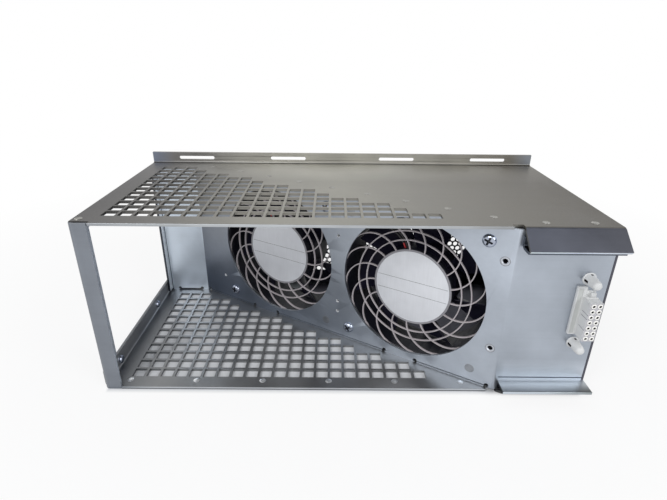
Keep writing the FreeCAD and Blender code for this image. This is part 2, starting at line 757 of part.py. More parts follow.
def guide_pegs():
    """Blunt pegs above and below the connector, each with a collar and a waist on the panel."""
    parts = ("collar", "waist", "shoulder")
    collar, waist, shoulder = (dim("guide_" + part) for part in parts)
    collar_end, waist_end, shoulder_end = (dim(f"guide_{part}_end") for part in parts)
    spans = [((collar, 0), (collar, collar_end)), ((waist, collar_end), (waist, waist_end)),
             ((shoulder, waist_end), (shoulder, shoulder_end)),
             ((shoulder, shoulder_end), (dim("guide_tip"), dim("guide_reach")))]
    pegs = []
    for side in (-0.5, 0.5):
        sections = [tapered(span, "small_sides") for span in spans]
        peg = sections[0].multiFuse(sections[1:]).removeSplitter()
        spot = Vector((dim("flange_left") + dim("flange_right")) / 2, 0,
                      (dim("flange_low") + dim("flange_high")) / 2 + side * dim("guide_spacing"))
        peg.Placement = FreeCAD.Placement(spot, FreeCAD.Rotation(Z, -Y))
        pegs.append(peg)
    solid_node("guide_pegs", Part.Compound(pegs), tray_place)


def spoke_edge(radius, side):
    """Angle in degrees of a spoke's edge or middle at a radius. The spoke leaves the motor base straight
    and sweeps round to the rim in one circular arc; its edges lie on arcs about the same centre."""
    stations = (("base_radius", 0), ("outer_ring", dim("spoke_mid_sweep")), ("rim_inner", dim("spoke_sweep")))
    arc = Part.Arc(*(polar(dim(name), -sweep, 0) for name, sweep in stations)).toShape().Curve
    centre, bow = arc.Center, arc.Radius + side * dim("spoke_width") / 2
    away = math.hypot(centre.x, centre.y)
    swing = math.acos((radius ** 2 + away ** 2 - bow ** 2) / (2 * radius * away))
    return math.degrees(math.atan2(centre.y, centre.x) + swing)


def spoke_path(inner, outer, side, steps):
    """Points along a spoke's edge or middle, from one radius to another."""
    radii = [inner + (outer - inner) * index / steps for index in range(steps + 1)]
    return [polar(radius, spoke_edge(radius, side), 0) for radius in radii]


def arc_points(radius, start, end):
    """Points of an arc between two directions, a few to each quarter turn."""
    steps = max(int(dim("cell_steps")), round(abs(end - start) / 360 * dim("motor_sides")))
    return [polar(radius, start + (end - start) * index / steps, 0) for index in range(steps + 1)]


def guard_cell(inner, outer):
    """One open cell of the guard, between two spokes and two rings."""
    pitch = 360 / dim("spoke_count")
    steps = 1 if outer < dim("outer_ring") else int(dim("cell_steps"))
    turn = FreeCAD.Rotation(Z, pitch)
    near = spoke_path(inner, outer, 1, steps)
    far = [turn.multVec(point) for point in spoke_path(inner, outer, -1, steps)]
    top = arc_points(outer, spoke_edge(outer, 1), spoke_edge(outer, -1) + pitch)
    bottom = arc_points(inner, spoke_edge(inner, -1) + pitch, spoke_edge(inner, 1))
    outline = near[:-1] + top[:-1] + far[:0:-1] + bottom
    return Part.Face(Part.makePolygon(outline)).extrude(Z * dim("seat_depth"))


# Spiral guard: two rings and a rim, crossed by spokes that sweep round from the motor base
def guard_grille():
    low, high, half = dim("guard_face"), dim("guard_back"), dim("spoke_width") / 2
    rim = drum(dim("rim_outer"), 0, dim("seat_depth")).cut(drum(dim("rim_inner"), 0, dim("seat_depth")))
    within_base = (dim("label_radius") + dim("base_radius")) / 2
    web = drum((dim("rim_inner") + dim("rim_outer")) / 2, low, high).cut(drum(within_base, low, high))
    cells = []
    borders = (dim("base_wall"), dim("inner_ring"), dim("outer_ring"), dim("rim_inner"))
    for inner, outer in zip(borders, borders[1:]):
        cell = guard_cell(inner + half, outer - half)
        for index in range(int(dim("spoke_count"))):
            copy = cell.copy()
            copy.rotate(Vector(), Z, dim("spoke_start") - index * 360 / dim("spoke_count"))
            cells.append(copy)
    return rim.fuse(web.cut(Part.Compound(cells)))


def lead_angle():
    """Direction in which the leads leave the motor base, just past one spoke."""
    return dim("spoke_start") - dim("lead_spoke") * 360 / dim("spoke_count") - dim("lead_shift")


def fan_guard(suffix, place):
    base = turned("motor_base_" + suffix,
                  [("tube_radius", "base_face"), ("label_radius", "base_face"),
                   ("label_radius", "guard_face"), ("base_radius", "guard_face"),
                   ("base_radius", "base_skirt"), ("base_wall", "base_skirt"),
                   ("base_wall", "base_back"), ("tube_radius", "base_back")])
    whole = fuse("guard_" + suffix, [base, feature("grille_" + suffix, guard_grille())])
    door = Part.makeBox(dim("base_wall"), dim("lead_door"), dim("base_skirt"),
                        Vector(dim("board_radius"), -dim("lead_door") / 2, dim("guard_back")))
    door.rotate(Vector(), Z, lead_angle())
    opening = feature("lead_door_" + suffix, door)
    node(cut("fan_guard_" + suffix, whole, opening), "fan_guard_" + suffix, place)


# Square frame: two flanges joined by a round barrel, a seat for the guard and a flared inlet
def fan_frame(suffix, place):
    side, depth, flange = dim("fan_side"), dim("fan_depth"), dim("fan_flange")
    plate = Part.makeBox(side, side, depth, Vector(-side / 2, -side / 2, 0))
    uprights = [edge for edge in plate.Edges if edge.BoundBox.ZLength > depth - 1]
    plate = plate.makeFillet(dim("fan_corner"), uprights)
    waist = Part.makeBox(side * 2, side * 2, depth - 2 * flange, Vector(-side, -side, flange))
    waist = waist.cut(drum(dim("barrel_radius"), 0, depth))
    bore = drum(dim("bore_radius"), 0, depth)
    seat = drum(dim("seat_radius"), 0, dim("seat_depth"))
    inlet = depth - dim("inlet_depth")
    flare = tapered([(dim("bore_radius"), inlet), (dim("inlet_radius"), depth)], "round_sides")
    half = dim("screw_square") / 2
    holes = [prism(dim("corner_hole_radius"), depth, Vector(x, y, 0))
             for x in (-half, half) for y in (-half, half)]
    slot = Part.makeBox(side / 2, dim("lead_slot"), flange,
                        Vector(half, -dim("lead_slot") / 2, dim("seat_depth")))
    slot.rotate(Vector(), Z, lead_angle() + spoke_edge(dim("bore_radius"), 0))
    frame = plate.cut(waist).cut(bore.multiFuse([seat, flare])).cut(Part.Compound(holes + [slot]))
    solid_node("fan_frame_" + suffix, frame.removeSplitter(), place)


def flat_face(corners):
    return Part.Face(Part.makePolygon(corners + corners[:1]))


def blade():
    """One blade: a curved section near the hub joined by flat facets to a flatter one past the tip."""
    low, high = dim("blade_low"), dim("blade_high")
    skin, points = dim("blade_thickness") / 2, int(dim("blade_points"))
    sections = []
    for plane, run, lag in ((dim("blade_root_plane"), dim("blade_root_run"), 0),
                            (dim("blade_tip_plane"), dim("blade_tip_run"), dim("blade_tip_lag"))):
        start, end = Vector(plane, -run / 2 - lag, low), Vector(plane, run / 2 - lag, high)
        chord = end - start
        across = Vector(0, -chord.z, chord.y).normalize()
        middle = (start + end) * 0.5 + across * dim("blade_camber")
        line = Part.Arc(start, middle, end).toShape().discretize(points)
        sections.append([point + across * skin for point in line]
                        + [point - across * skin for point in reversed(line)])
    root, tip = sections
    faces = [flat_face(root), flat_face(tip)]
    for a, b, c, d in zip(root, root[1:] + root[:1], tip[1:] + tip[:1], tip):
        faces += [flat_face([a, b, c]), flat_face([a, c, d])]
    return Part.Solid(Part.Shell(faces))


def impeller(suffix, place):
    hub = turned("hub_" + suffix,
                 [("shaft_radius", "yoke_high"), ("hub_inner", "yoke_high"), ("hub_inner", "hub_low"),
                  ("hub_radius", "hub_low"), ("hub_radius", "hub_bevel_low"),
                  ("hub_bevel_radius", "hub_high"), ("shaft_radius", "hub_high")])
    swept = drum(dim("blade_tip"), 0, dim("fan_depth"))
    core = drum((dim("hub_inner") + dim("hub_radius")) / 2, 0, dim("fan_depth"))
    wing = blade().common(swept.cut(core))
    wings = []
    for index in range(int(dim("blade_count"))):
        copy = wing.copy()
        copy.rotate(Vector(), Z, index * 360 / dim("blade_count"))
        wings.append(copy)
    blades = feature("blades_" + suffix, Part.Compound(wings))
    node(fuse("impeller_" + suffix, [hub, blades]), "impeller_" + suffix, place)


# Stator: laminated core with poles and shoes, and a coil around each pole
def stator(suffix, place):
    low, width, count = dim("core_low"), dim("pole_width"), int(dim("pole_count"))
    tall = dim("core_high") - low
    base, half_span = Z * low, dim("shoe_span") / 2
    hub = prism(dim("core_hub_radius"), tall, base, Z, "motor_sides")
    pieces, coils = [hub], []
    for index in range(count):
        turn = dim("pole_start") + index * 360 / count
        arm = Part.makeBox(dim("shoe_inner") + 1, width, tall, Vector(0, -width / 2, low))
        rim = arc_points(dim("shoe_outer"), -half_span, half_span)
        rim += arc_points(dim("shoe_inner"), half_span, -half_span)
        shoe = flat_face(rim).extrude(Z * tall)
        shoe.translate(base)
        pole = arm.fuse(shoe)
        reach = dim("coil_outer") - dim("coil_inner")
        over = dim("coil_overhang")
        coil = Part.makeBox(reach, dim("coil_width"), tall + 2 * over,
                            Vector(dim("coil_inner"), -dim("coil_width") / 2, low - over))
        coil = coil.cut(Part.makeBox(reach * 2, width, tall, Vector(dim("coil_inner") - 1, -width / 2, low)))
        for piece, group in ((pole, pieces), (coil, coils)):
            piece.rotate(Vector(), Z, turn)
            group.append(piece)
    core = pieces[0].multiFuse(pieces[1:]).cut(prism(dim("tube_radius"), tall, base, Z, "motor_sides"))
    solid_node("stator_core_" + suffix, core.removeSplitter(), place)
    solid_node("stator_coils_" + suffix, Part.Compound(coils), place)


# Lowest corners of the circuit board's chips
CHIPS = (("11", "4"), ("-18", "-9"), ("5", "-19"))
# Plain rings of the motor: name, then the cells of its bore, radius, lower and upper face
MOTOR_RINGS = (
    ("bearing_rear_", "bearing_bore", "bearing_radius", "bearing_low", "bearing_low_end"),
    ("bearing_front_", "bearing_bore", "bearing_radius", "bearing_high", "bearing_high_end"),
    ("spring_washer_", "washer_bore", "washer_radius", "bearing_low_end", "tube_stop_low"),
    ("magnet_ring_", "magnet_inner", "yoke_inner", "magnet_low", "magnet_high"),
    ("retaining_clip_", "groove_radius", "clip_radius", "groove_low", "groove_high"),
)


def motor(suffix, place):
    """The motor's turned pieces, its shaft and its circuit board."""
    stator(suffix, place)
    tube_bores = [rod("tube_rear_bore_" + suffix, "bearing_radius", "base_face", "tube_stop_low"),
                  rod("tube_middle_bore_" + suffix, "tube_stop_radius", "tube_stop_low", "tube_stop_high"),
                  rod("tube_front_bore_" + suffix, "bearing_radius", "tube_stop_high", "tube_end")]
    node(cut("bearing_tube_" + suffix, rod("tube_" + suffix, "tube_radius", "base_face", "tube_end"),
             fuse("tube_bores_" + suffix, tube_bores)), "bearing_tube_" + suffix, place)
    for name, inner, outer, low, high in MOTOR_RINGS:
        node(ring(name + suffix, inner, outer, low, high), name + suffix, place)
    yoke_hollow = fuse("yoke_hollow_" + suffix,
                       [rod("yoke_cup_" + suffix, "yoke_inner", "yoke_low", "yoke_end"),
                        rod("yoke_hole_" + suffix, "shaft_radius", "yoke_low", "yoke_high")])
    yoke_blank = rod("yoke_blank_" + suffix, "yoke_radius", "yoke_low", "yoke_high")
    node(cut("rotor_yoke_" + suffix, yoke_blank, yoke_hollow), "rotor_yoke_" + suffix, place)
    shaft_steps = [rod("shaft_end_" + suffix, "shaft_radius", "shaft_low", "groove_low"),
                   rod("shaft_groove_" + suffix, "groove_radius", "groove_low", "groove_high"),
                   rod("shaft_main_" + suffix, "shaft_radius", "groove_high", "shaft_high")]
    node(fuse("shaft_" + suffix, shaft_steps), "shaft_" + suffix, place)
    board = cut("board_" + suffix, rod("board_disc_" + suffix, "board_radius", "board_low", "board_high"),
                rod("board_hole_" + suffix, "tube_radius", "board_low - 1", "board_high + 1"))
    chips = [box(f"chip_{index}_{suffix}", (x, y, "board_high"), ("chip_length", "chip_width", "chip_height"))
             for index, (x, y) in enumerate(CHIPS)]
    node(fuse("circuit_board_" + suffix, [board] + chips), "circuit_board_" + suffix, place)
    label = rod("label_disc_" + suffix, "label_radius", "label_face", "base_face")
    node(group("fan_label_" + suffix, [label]), "fan_label_" + suffix, place)


# Two leads that leave the circuit board through the base's door and lie beside one spoke to the frame's slot
def leads(suffix, place):
    inner, outer = dim("board_radius"), dim("bore_radius")
    half = dim("lead_width") / 2
    middle = spoke_path(dim("base_radius"), outer, 0, int(dim("lead_steps")))
    middle = [middle[0] * (inner / dim("base_radius"))] + middle
    slopes = [(after - before).normalize() for before, after in zip(middle, middle[1:])]
    slopes.append(slopes[-1])
    sides = [Vector(-slope.y, slope.x, 0) * half for slope in slopes]
    outline = [point + side for point, side in zip(middle, sides)]
    outline += [point - side for point, side in zip(reversed(middle), reversed(sides))]
    lead = flat_face(outline).extrude(Z * (dim("lead_high") - dim("lead_low")))
    lead.translate(Z * dim("lead_low"))
    wires = []
    for shift in (-dim("lead_spread"), dim("lead_spread")):
        copy = lead.copy()
        copy.rotate(Vector(), Z, lead_angle() + shift)
        wires.append(copy)
    solid_node("lead_wires_" + suffix, Part.Compound(wires), place)


top_plate()
bottom_plate()
fan_plate()
left_post()
right_side_panel()
nose_ledges()
front_cover()
rivets()
fasteners()
connector()
for suffix, station in FAN_STATIONS.items():
    fan_place = plate_place.multiply(FreeCAD.Placement(Vector(station, FAN_Z, GAUGE), FreeCAD.Rotation()))
    fan_frame(suffix, fan_place)
    fan_guard(suffix, fan_place)
    motor(suffix, fan_place)
    impeller(suffix, fan_place)
    leads(suffix, fan_place)

doc.recompute()
faults = [item.Name for item in doc.Objects if "Invalid" in item.State or "Error" in item.State]
faults += [item.Label for item in nodes if item.Shape.isNull() or not item.Shape.isValid()]
if faults:
    raise RuntimeError("failed objects: " + ", ".join(faults))

os.makedirs("parts", exist_ok=True)
for item in nodes:
    item.Shape.exportStep(f"parts/{item.Label}.step")
print(len(nodes), "sub-parts written")
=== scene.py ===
import math

import bmesh
import bpy
from mathutils import Matrix, Vector


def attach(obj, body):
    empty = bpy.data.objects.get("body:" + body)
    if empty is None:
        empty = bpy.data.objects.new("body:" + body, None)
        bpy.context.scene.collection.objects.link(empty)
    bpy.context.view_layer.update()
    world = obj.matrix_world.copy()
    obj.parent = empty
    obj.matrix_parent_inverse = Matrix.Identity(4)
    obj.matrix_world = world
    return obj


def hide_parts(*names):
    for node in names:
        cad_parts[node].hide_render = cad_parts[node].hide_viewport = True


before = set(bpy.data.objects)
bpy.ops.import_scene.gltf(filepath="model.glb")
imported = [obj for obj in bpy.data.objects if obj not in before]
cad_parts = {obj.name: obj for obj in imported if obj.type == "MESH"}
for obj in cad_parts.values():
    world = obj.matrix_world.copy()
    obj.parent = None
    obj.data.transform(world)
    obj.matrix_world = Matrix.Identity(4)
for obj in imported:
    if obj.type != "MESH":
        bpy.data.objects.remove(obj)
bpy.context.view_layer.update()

# Lengths below are in millimetres; the frame is in metres
MM = 0.001

# Tray: x from the left side, y from the rear edge towards the front, z from the underside
WIDTH, HEIGHT, GAUGE = 355.8, 132.5, 2.0
REAR = -80.05
TRAY = Matrix.Scale(MM, 4) @ Matrix.Translation((-WIDTH / 2, REAR, 0))

# Fan plate: along it from its right bend, up, and through it to the front
SLANT = math.radians(31.05)
BEND_X = 289.55
PLATE = TRAY @ Matrix((
    (-math.cos(SLANT), 0, math.sin(SLANT), BEND_X),
    (math.sin(SLANT), 0, math.cos(SLANT), 0),
    (0, 1, 0, 0),
    (0, 0, 0, 1),
))
FAN_Z = HEIGHT / 2
FAN_STATIONS = {"right": 71.2, "left": 198.8}
SCREW_SQUARE = 105.0


# Helpers for node materials
def new_material(name):
    """A material with an empty principled shader, and the tree to wire it in."""
    material = bpy.data.materials.new(name)
    material.use_nodes = True
    tree = material.node_tree
    return material, tree, tree.nodes["Principled BSDF"]


def wire(tree, kind, inputs=None, **settings):
    """Add one node. An input that is a socket is linked, and any other value is set on it."""
    item = tree.nodes.new(kind)
    for key, value in settings.items():
        setattr(item, key, value)
    for key, value in (inputs or {}).items():
        if isinstance(value, bpy.types.NodeSocket):
            tree.links.new(value, item.inputs[key])
        else:
            item.inputs[key].default_value = value
    return item


def place_coords(tree, stretch):
    """The object's own coordinates in metres, stretched."""
    coords = wire(tree, "ShaderNodeTexCoord").outputs["Object"]
    return wire(tree, "ShaderNodeMapping", {"Vector": coords, "Scale": stretch}).outputs["Vector"]


def noise(tree, scale, detail, stretch=(1, 1, 1)):
    inputs = {"Vector": place_coords(tree, stretch), "Scale": scale, "Detail": detail}
    return wire(tree, "ShaderNodeTexNoise", inputs).outputs["Fac"]


def ramp(tree, value, stops):
    """Colours along a value from 0 to 1."""
    item = wire(tree, "ShaderNodeValToRGB", {"Fac": value})
    elements = item.color_ramp.elements
    while len(elements) < len(stops):
        elements.new(0.5)
    for element, (position, colour) in zip(elements, stops):
        element.position = position
        element.color = (*colour, 1)
    return item.outputs["Color"]


def map_range(tree, value, start, end, low=0.0, high=1.0):
    """From low to high as a value goes from start to end."""
    limits = {"Value": value, "From Min": start, "From Max": end, "To Min": low, "To Max": high}
    return wire(tree, "ShaderNodeMapRange", limits).outputs["Result"]


# A noise seldom leaves these two values
NOISE_LOW, NOISE_HIGH = 0.3, 0.7


def spread(tree, value, low, high):
    """A noise spread over a range."""
    return map_range(tree, value, NOISE_LOW, NOISE_HIGH, low, high)


def blend_values(tree, first, second, share):
    inputs = {"Factor": share, "A": first, "B": second}
    return wire(tree, "ShaderNodeMix", inputs).outputs["Result"]


def combine(tree, operation, first, second):
    return wire(tree, "ShaderNodeMath", {0: first, 1: second}, operation=operation).outputs[0]


def tinted(tree, base, share, factors):
    """A colour multiplied by factors, where the share says so."""
    inputs = {0: share, 6: base, 7: (*factors, 1)}
    return wire(tree, "ShaderNodeMix", inputs, data_type="RGBA", blend_type="MULTIPLY").outputs[2]


def bump(tree, shader, height, strength, distance):
    inputs = {"Height": height, "Strength": strength, "Distance": distance * MM}
    tree.links.new(wire(tree, "ShaderNodeBump", inputs).outputs["Normal"], shader.inputs["Normal"])


def linear(red, green, blue):
    """A colour given in 8-bit display values, as linear light."""
    return tuple((value / 255 / 12.92) if value < 11 else ((value / 255 + 0.055) / 1.055) ** 2.4
                 for value in (red, green, blue))


def shade(colour, factor):
    return tuple(channel * factor for channel in colour)


# Masks: each gives a value from 0 to 1 over a surface
def surface(tree, kind):
    """The surface's own Position or Normal."""
    return wire(tree, "ShaderNodeNewGeometry").outputs[kind]


def part_of(tree, vector, axis):
    return wire(tree, "ShaderNodeSeparateXYZ", {0: vector}).outputs[axis]


def facing(axis, low, high):
    """A mask that grows as the surface's normal along an axis goes from low to high."""
    def mask(tree):
        return map_range(tree, part_of(tree, surface(tree, "Normal"), axis), low, high)
    return mask


def lying(axis, low, high):
    """A mask that grows between two places along an axis, in millimetres of the part's frame."""
    def mask(tree):
        return map_range(tree, part_of(tree, surface(tree, "Position"), axis), low * MM, high * MM)
    return mask


def behind(low, high):
    """A mask that grows with the distance behind the fan plate's face, in millimetres."""
    normal = PLATE.to_3x3().col[2].normalized()
    start = PLATE.to_translation().dot(normal)

    def mask(tree):
        inputs = {0: surface(tree, "Position"), 1: normal}
        away = wire(tree, "ShaderNodeVectorMath", inputs, operation="DOT_PRODUCT").outputs["Value"]
        return map_range(tree, away, start + low * MM, start + high * MM)
    return mask


def both(*masks):
    """The product of masks."""
    def mask(tree):
        product = masks[0](tree)
        for other in masks[1:]:
            product = combine(tree, "MULTIPLY", product, other(tree))
        return product
    return mask


# Kinds of material: noise scales are per metre, bump depths in millimetres
def zinc_sheet(name, colour, roughness, metallic, painted_light):
    """Zinc-plated sheet: cloudy plating, faint rolling lines and small spangle.
    Each tint is a mask and the factors by which it changes the sheet's colour; the tints paint shade,
    highlights and reflections into it."""
    material, tree, shader = new_material(name)
    clouds = noise(tree, 28, 5)
    lines = noise(tree, 420, 2, (0.05, 1, 1))
    tone = blend_values(tree, clouds, lines, 0.12)
    base = ramp(tree, tone, ((0.3, shade(colour, 0.86)), (0.52, colour), (0.72, shade(colour, 1.12))))
    # Paint shade, highlights and reflections into the colour
    for mask, factors in painted_light:
        base = tinted(tree, base, mask(tree), factors)
    tree.links.new(base, shader.inputs["Base Color"])
    grain = noise(tree, 1500, 2)
    gloss = spread(tree, blend_values(tree, clouds, grain, 0.4), roughness - 0.07, roughness + 0.09)
    tree.links.new(gloss, shader.inputs["Roughness"])
    shader.inputs["Metallic"].default_value = metallic
    bump(tree, shader, blend_values(tree, lines, grain, 0.7), 0.1, 0.05)
    return material


def moulded(name, colour, roughness, grain_scale=900, contrast=0.1, specular=0.5):
    """Moulded plastic: fine grain, slight flow clouds and uneven gloss."""
    material, tree, shader = new_material(name)
    clouds = noise(tree, 60, 4)
    grain = noise(tree, grain_scale, 2)
    base = ramp(tree, clouds, ((0.3, shade(colour, 1 - contrast)), (0.7, shade(colour, 1 + contrast))))
    tree.links.new(base, shader.inputs["Base Color"])
    tree.links.new(spread(tree, grain, roughness - 0.06, roughness + 0.08), shader.inputs["Roughness"])
    shader.inputs["Specular IOR Level"].default_value = specular
    bump(tree, shader, grain, 0.15, 0.04)
    return material


def bright_metal(name, colour, roughness, turned=(1, 1, 1)):
    """Plated or turned metal with fine marks and slight staining."""
    material, tree, shader = new_material(name)
    stain = noise(tree, 180, 4)
    marks = noise(tree, 2600, 2, turned)
    base = ramp(tree, stain, ((0.28, shade(colour, 0.72)), (0.6, colour)))
    tree.links.new(base, shader.inputs["Base Color"])
    tree.links.new(spread(tree, marks, roughness - 0.08, roughness + 0.12), shader.inputs["Roughness"])
    shader.inputs["Metallic"].default_value = 1.0
    bump(tree, shader, marks, 0.1, 0.03)
    return material


def label_film(name, colour):
    """Silver film: faint cross-brushed sheen and handling marks."""
    material, tree, shader = new_material(name)
    smudges = noise(tree, 90, 5)
    brushed = noise(tree, 900, 2, (1, 1, 0.08))
    tone = blend_values(tree, smudges, brushed, 0.35)
    base = ramp(tree, tone, ((0.3, shade(colour, 0.92)), (0.7, shade(colour, 1.04))))
    tree.links.new(base, shader.inputs["Base Color"])
    tree.links.new(spread(tree, smudges, 0.32, 0.48), shader.inputs["Roughness"])
    shader.inputs["Metallic"].default_value = 0.15
    bump(tree, shader, brushed, 0.05, 0.02)
    return material


# Places on the sheets where light and shade are painted into the colour, in the part's frame
# Factors for deep painted shade
PAINTED_SHADE = (0.08, 0.08, 0.09)
NOSE_START, NOSE_REACH = 113.9, 13.9
# The sheets' cut rear edges are bare metal; a painted highlight makes them bright
CUT_EDGE = both(facing("Y", -0.7, -0.76), lying("Y", REAR + 0.6, REAR + 0.5))
PAST_REAR = lying("Y", REAR, REAR - 1)
# Painted shade inside the nose's two hollows, above its ledge and below its sill
PAST_BEND = lying("X", NOSE_START + 0.5, NOSE_START + 1.5)
UPPER_HOLLOW = both(PAST_BEND, lying("Z", 119.4, 120.0))
LOWER_HOLLOW = both(PAST_BEND, lying("Z", 11.2, 10.6))
# The bent-down nose of the top plate: a painted reflection on its slope, painted shade on its underside and
# a painted highlight on its free edge
AWNING = both(facing("Y", -0.3, -0.5), facing("Z", 0.4, 0.6), lying("Y", REAR + 2, REAR + 1))
AWNING_UNDER = both(facing("Z", -0.3, -0.5), facing("Y", 0.2, 0.4), PAST_REAR)
AWNING_EDGE = both(facing("Z", -0.3, -0.5), facing("Y", -0.2, -0.4), PAST_REAR)
# The upturned lip: painted shade on its fold, and a painted reflection at the ends of its face
LIP_FOLD = both(facing("Y", -0.1, -0.25), facing("Z", 0.1, 0.25), lying("Y", 70, 72))
LIP_FACE = both(facing("Y", -0.7, -0.9), lying("Y", 76, 78), lying("Z", 132.5, 134))
TOP_LEFT = lying("X", -60, -178)
# The slanted face of the fan plate, the painted shadow line at the panel's foot, and the sill's top, which
# gets painted light
PLATE_FACE = facing("X", -0.3, -0.45)
PANEL_SHADOW_LINE = both(lying("X", NOSE_START, NOSE_START + 1), lying("Z", 14.0, 13.8), lying("Z", 12.9, 13.1))
SILL_UP = facing("Z", 0.6, 0.8)

# Sheet metal: one zinc, its base colour made lighter or darker on each sheet for how the light falls there,
# with painted shade, highlights and reflections
# Top plate: painted shade towards both ends, painted highlights in the middle and over the far half,
# painted shade on the lip's fold, a painted reflection at the lip's ends and on the nose's slope, painted
# highlights on the cut edge and the nose's free edge, and painted shade under the nose
SHEET_TOP = zinc_sheet("zinc_top", linear(136, 134, 128), 0.42, 0.9, (
    (TOP_LEFT, (0.38, 0.38, 0.42)),
    (lying("X", 60, 178), (0.45, 0.43, 0.41)),
    (both(facing("Z", 0.9, 0.97), lying("X", -140, -20), lying("X", 60, 0)), (1.35, 1.36, 1.34)),
    (lying("Y", 20, 78), (1.68, 1.7, 1.72)),
    (LIP_FOLD, (0.54, 0.54, 0.54)),
    (both(LIP_FACE, lying("X", 158, 174)), (1.05, 1.2, 1.5)),
    (both(LIP_FACE, lying("X", -158, -174)), (1.05, 1.2, 1.5)),
    (CUT_EDGE, (1.75, 1.9, 2.2)),
    (both(CUT_EDGE, TOP_LEFT), (1.8, 1.8, 1.7)),
    (AWNING, (0.85, 0.95, 1.3)),
    (AWNING_UNDER, PAINTED_SHADE),
    (AWNING_EDGE, (3.0, 3.2, 3.6)),
))
# Fan plate: painted shade towards its left end and, bluer, towards its lower left, a painted highlight at
# its upper right, painted light on the left wall and on its return's inner face, painted shade on the
# return's edge, a painted highlight band at the panel's foot with the painted shadow line below it, and
# painted shade in the nose's hollows
SHEET_FAN = zinc_sheet("zinc_fan_plate", linear(169, 176, 186), 0.36, 0.9, (
    (both(PLATE_FACE, lying("X", 45, -160)), (0.46, 0.45, 0.44)),
    (both(PLATE_FACE, lying("X", 40, -130), lying("Z", 80, 10)), (0.6, 0.68, 0.82)),
    (both(PLATE_FACE, lying("X", 70, 105), lying("Z", 70, 105)), (1.22, 1.22, 1.22)),
    (both(facing("Y", -0.9, -0.97), lying("X", -70, -90)), (1.5, 1.53, 1.52)),
    (both(facing("X", 0.1, 0.3), lying("X", -170.2, -170.8)), (3.4, 3.5, 3.5)),
    (both(facing("Y", -0.5, -0.7), lying("X", -172.2, -172.8)), PAINTED_SHADE),
    (both(lying("X", NOSE_START, NOSE_START + 4), lying("Z", 30, 22)), (1.26, 1.26, 1.25)),
    (PANEL_SHADOW_LINE, (0.12, 0.13, 0.16)),
    (UPPER_HOLLOW, PAINTED_SHADE),
    (LOWER_HOLLOW, PAINTED_SHADE),
))
# Sill: painted light on its top and a painted highlight on its front edge, painted shade towards its right
# end and its front, and painted shade on its underside and open left end
SHEET_SILL = zinc_sheet("zinc_sill", linear(160, 167, 176), 0.38, 0.9, (
    (SILL_UP, (1.32, 1.28, 1.2)),
    (both(lying("X", 145, 178), lying("Y", REAR - 3, REAR - 13)), (0.5, 0.5, 0.48)),
    (both(SILL_UP, lying("Y", REAR - 6, REAR - 13.5)), (0.36, 0.36, 0.36)),
    (both(facing("Y", -0.6, -0.7), lying("Y", REAR - 13, REAR - 13.6)), (1.6, 1.6, 1.55)),
    (facing("Z", -0.3, -0.5), PAINTED_SHADE),
    (facing("X", -0.5, -0.7), PAINTED_SHADE),
))
# Upper ledge: a darker copy of the zinc for the shade under the nose, with deeper painted shade on its
# upward faces
SHEET_LEDGE_SHADED = zinc_sheet("zinc_ledge_shaded", linear(90, 96, 106), 0.42, 0.9, ((facing("Z", 0.4, 0.7), PAINTED_SHADE),))
# Bottom plate: painted shade towards its left end, painted light on the rail's inner face, a painted
# highlight on its cut edge with a painted contact shadow along the edge's foot, painted shade behind the
# fan plate and painted shade under the nose
SHEET_FLOOR = zinc_sheet("zinc_floor", linear(143, 144, 145), 0.38, 0.9, (
    (lying("X", -140, -168), (0.55, 0.57, 0.6)),
    (both(facing("X", 0.5, 0.7), lying("X", -174, -175)), (2.9, 2.8, 2.7)),
    (CUT_EDGE, (2.0, 2.05, 2.1)),
    (both(CUT_EDGE, lying("Z", 0.9, 0.6)), (0.2, 0.2, 0.21)),
    (behind(2.2, 4), (0.36, 0.36, 0.44)),
    (both(facing("Z", 0.3, 0.5), PAST_REAR), PAINTED_SHADE),
    (both(facing("X", -0.5, -0.7), lying("X", NOSE_START - 1, NOSE_START - 0.5)), PAINTED_SHADE),
))
# Left post: a painted highlight on its faces turned to the right
SHEET_POST = zinc_sheet("zinc_post", linear(129, 134, 142), 0.42, 0.85, (
    (facing("X", 0.5, 0.7), (3.3, 3.3, 3.2)),
))
# Right side panel: painted shade on every face not turned outwards, which darkens its cut edge
SHEET_SIDE = zinc_sheet("zinc_side", linear(146, 150, 156), 0.42, 0.9, (
    (facing("X", 0.6, 0.4), (0.34, 0.32, 0.36)),
))
# Front cover: painted shade on its faces turned back into the tray
SHEET_COVER = zinc_sheet("zinc_cover", linear(140, 144, 148), 0.45, 0.85, (
    (facing("Y", -0.3, -0.6), (0.3, 0.3, 0.4)),
))

# Fasteners
SCREW_METAL = bright_metal("screw_zinc", linear(176, 183, 198), 0.16)
NUT_METAL = bright_metal("nut_zinc", linear(196, 200, 208), 0.3)
RIVET_DULL = bright_metal("rivet_dull", linear(160, 159, 154), 0.3)
RIVET_METAL = bright_metal("rivet_zinc", linear(236, 238, 240), 0.34)
FASTENER_DULL = bright_metal("dull_zinc", linear(150, 154, 160), 0.36)
# Painted shade for the faces of screw recesses and of the slits' grooves
RECESS_SHADE = moulded("recess_painted_shade", linear(36, 40, 50), 0.4)
# Painted highlight: a pale lining for the small holes' bores
BORE_HIGHLIGHT = moulded("bore_painted_highlight", linear(238, 240, 242), 0.5)

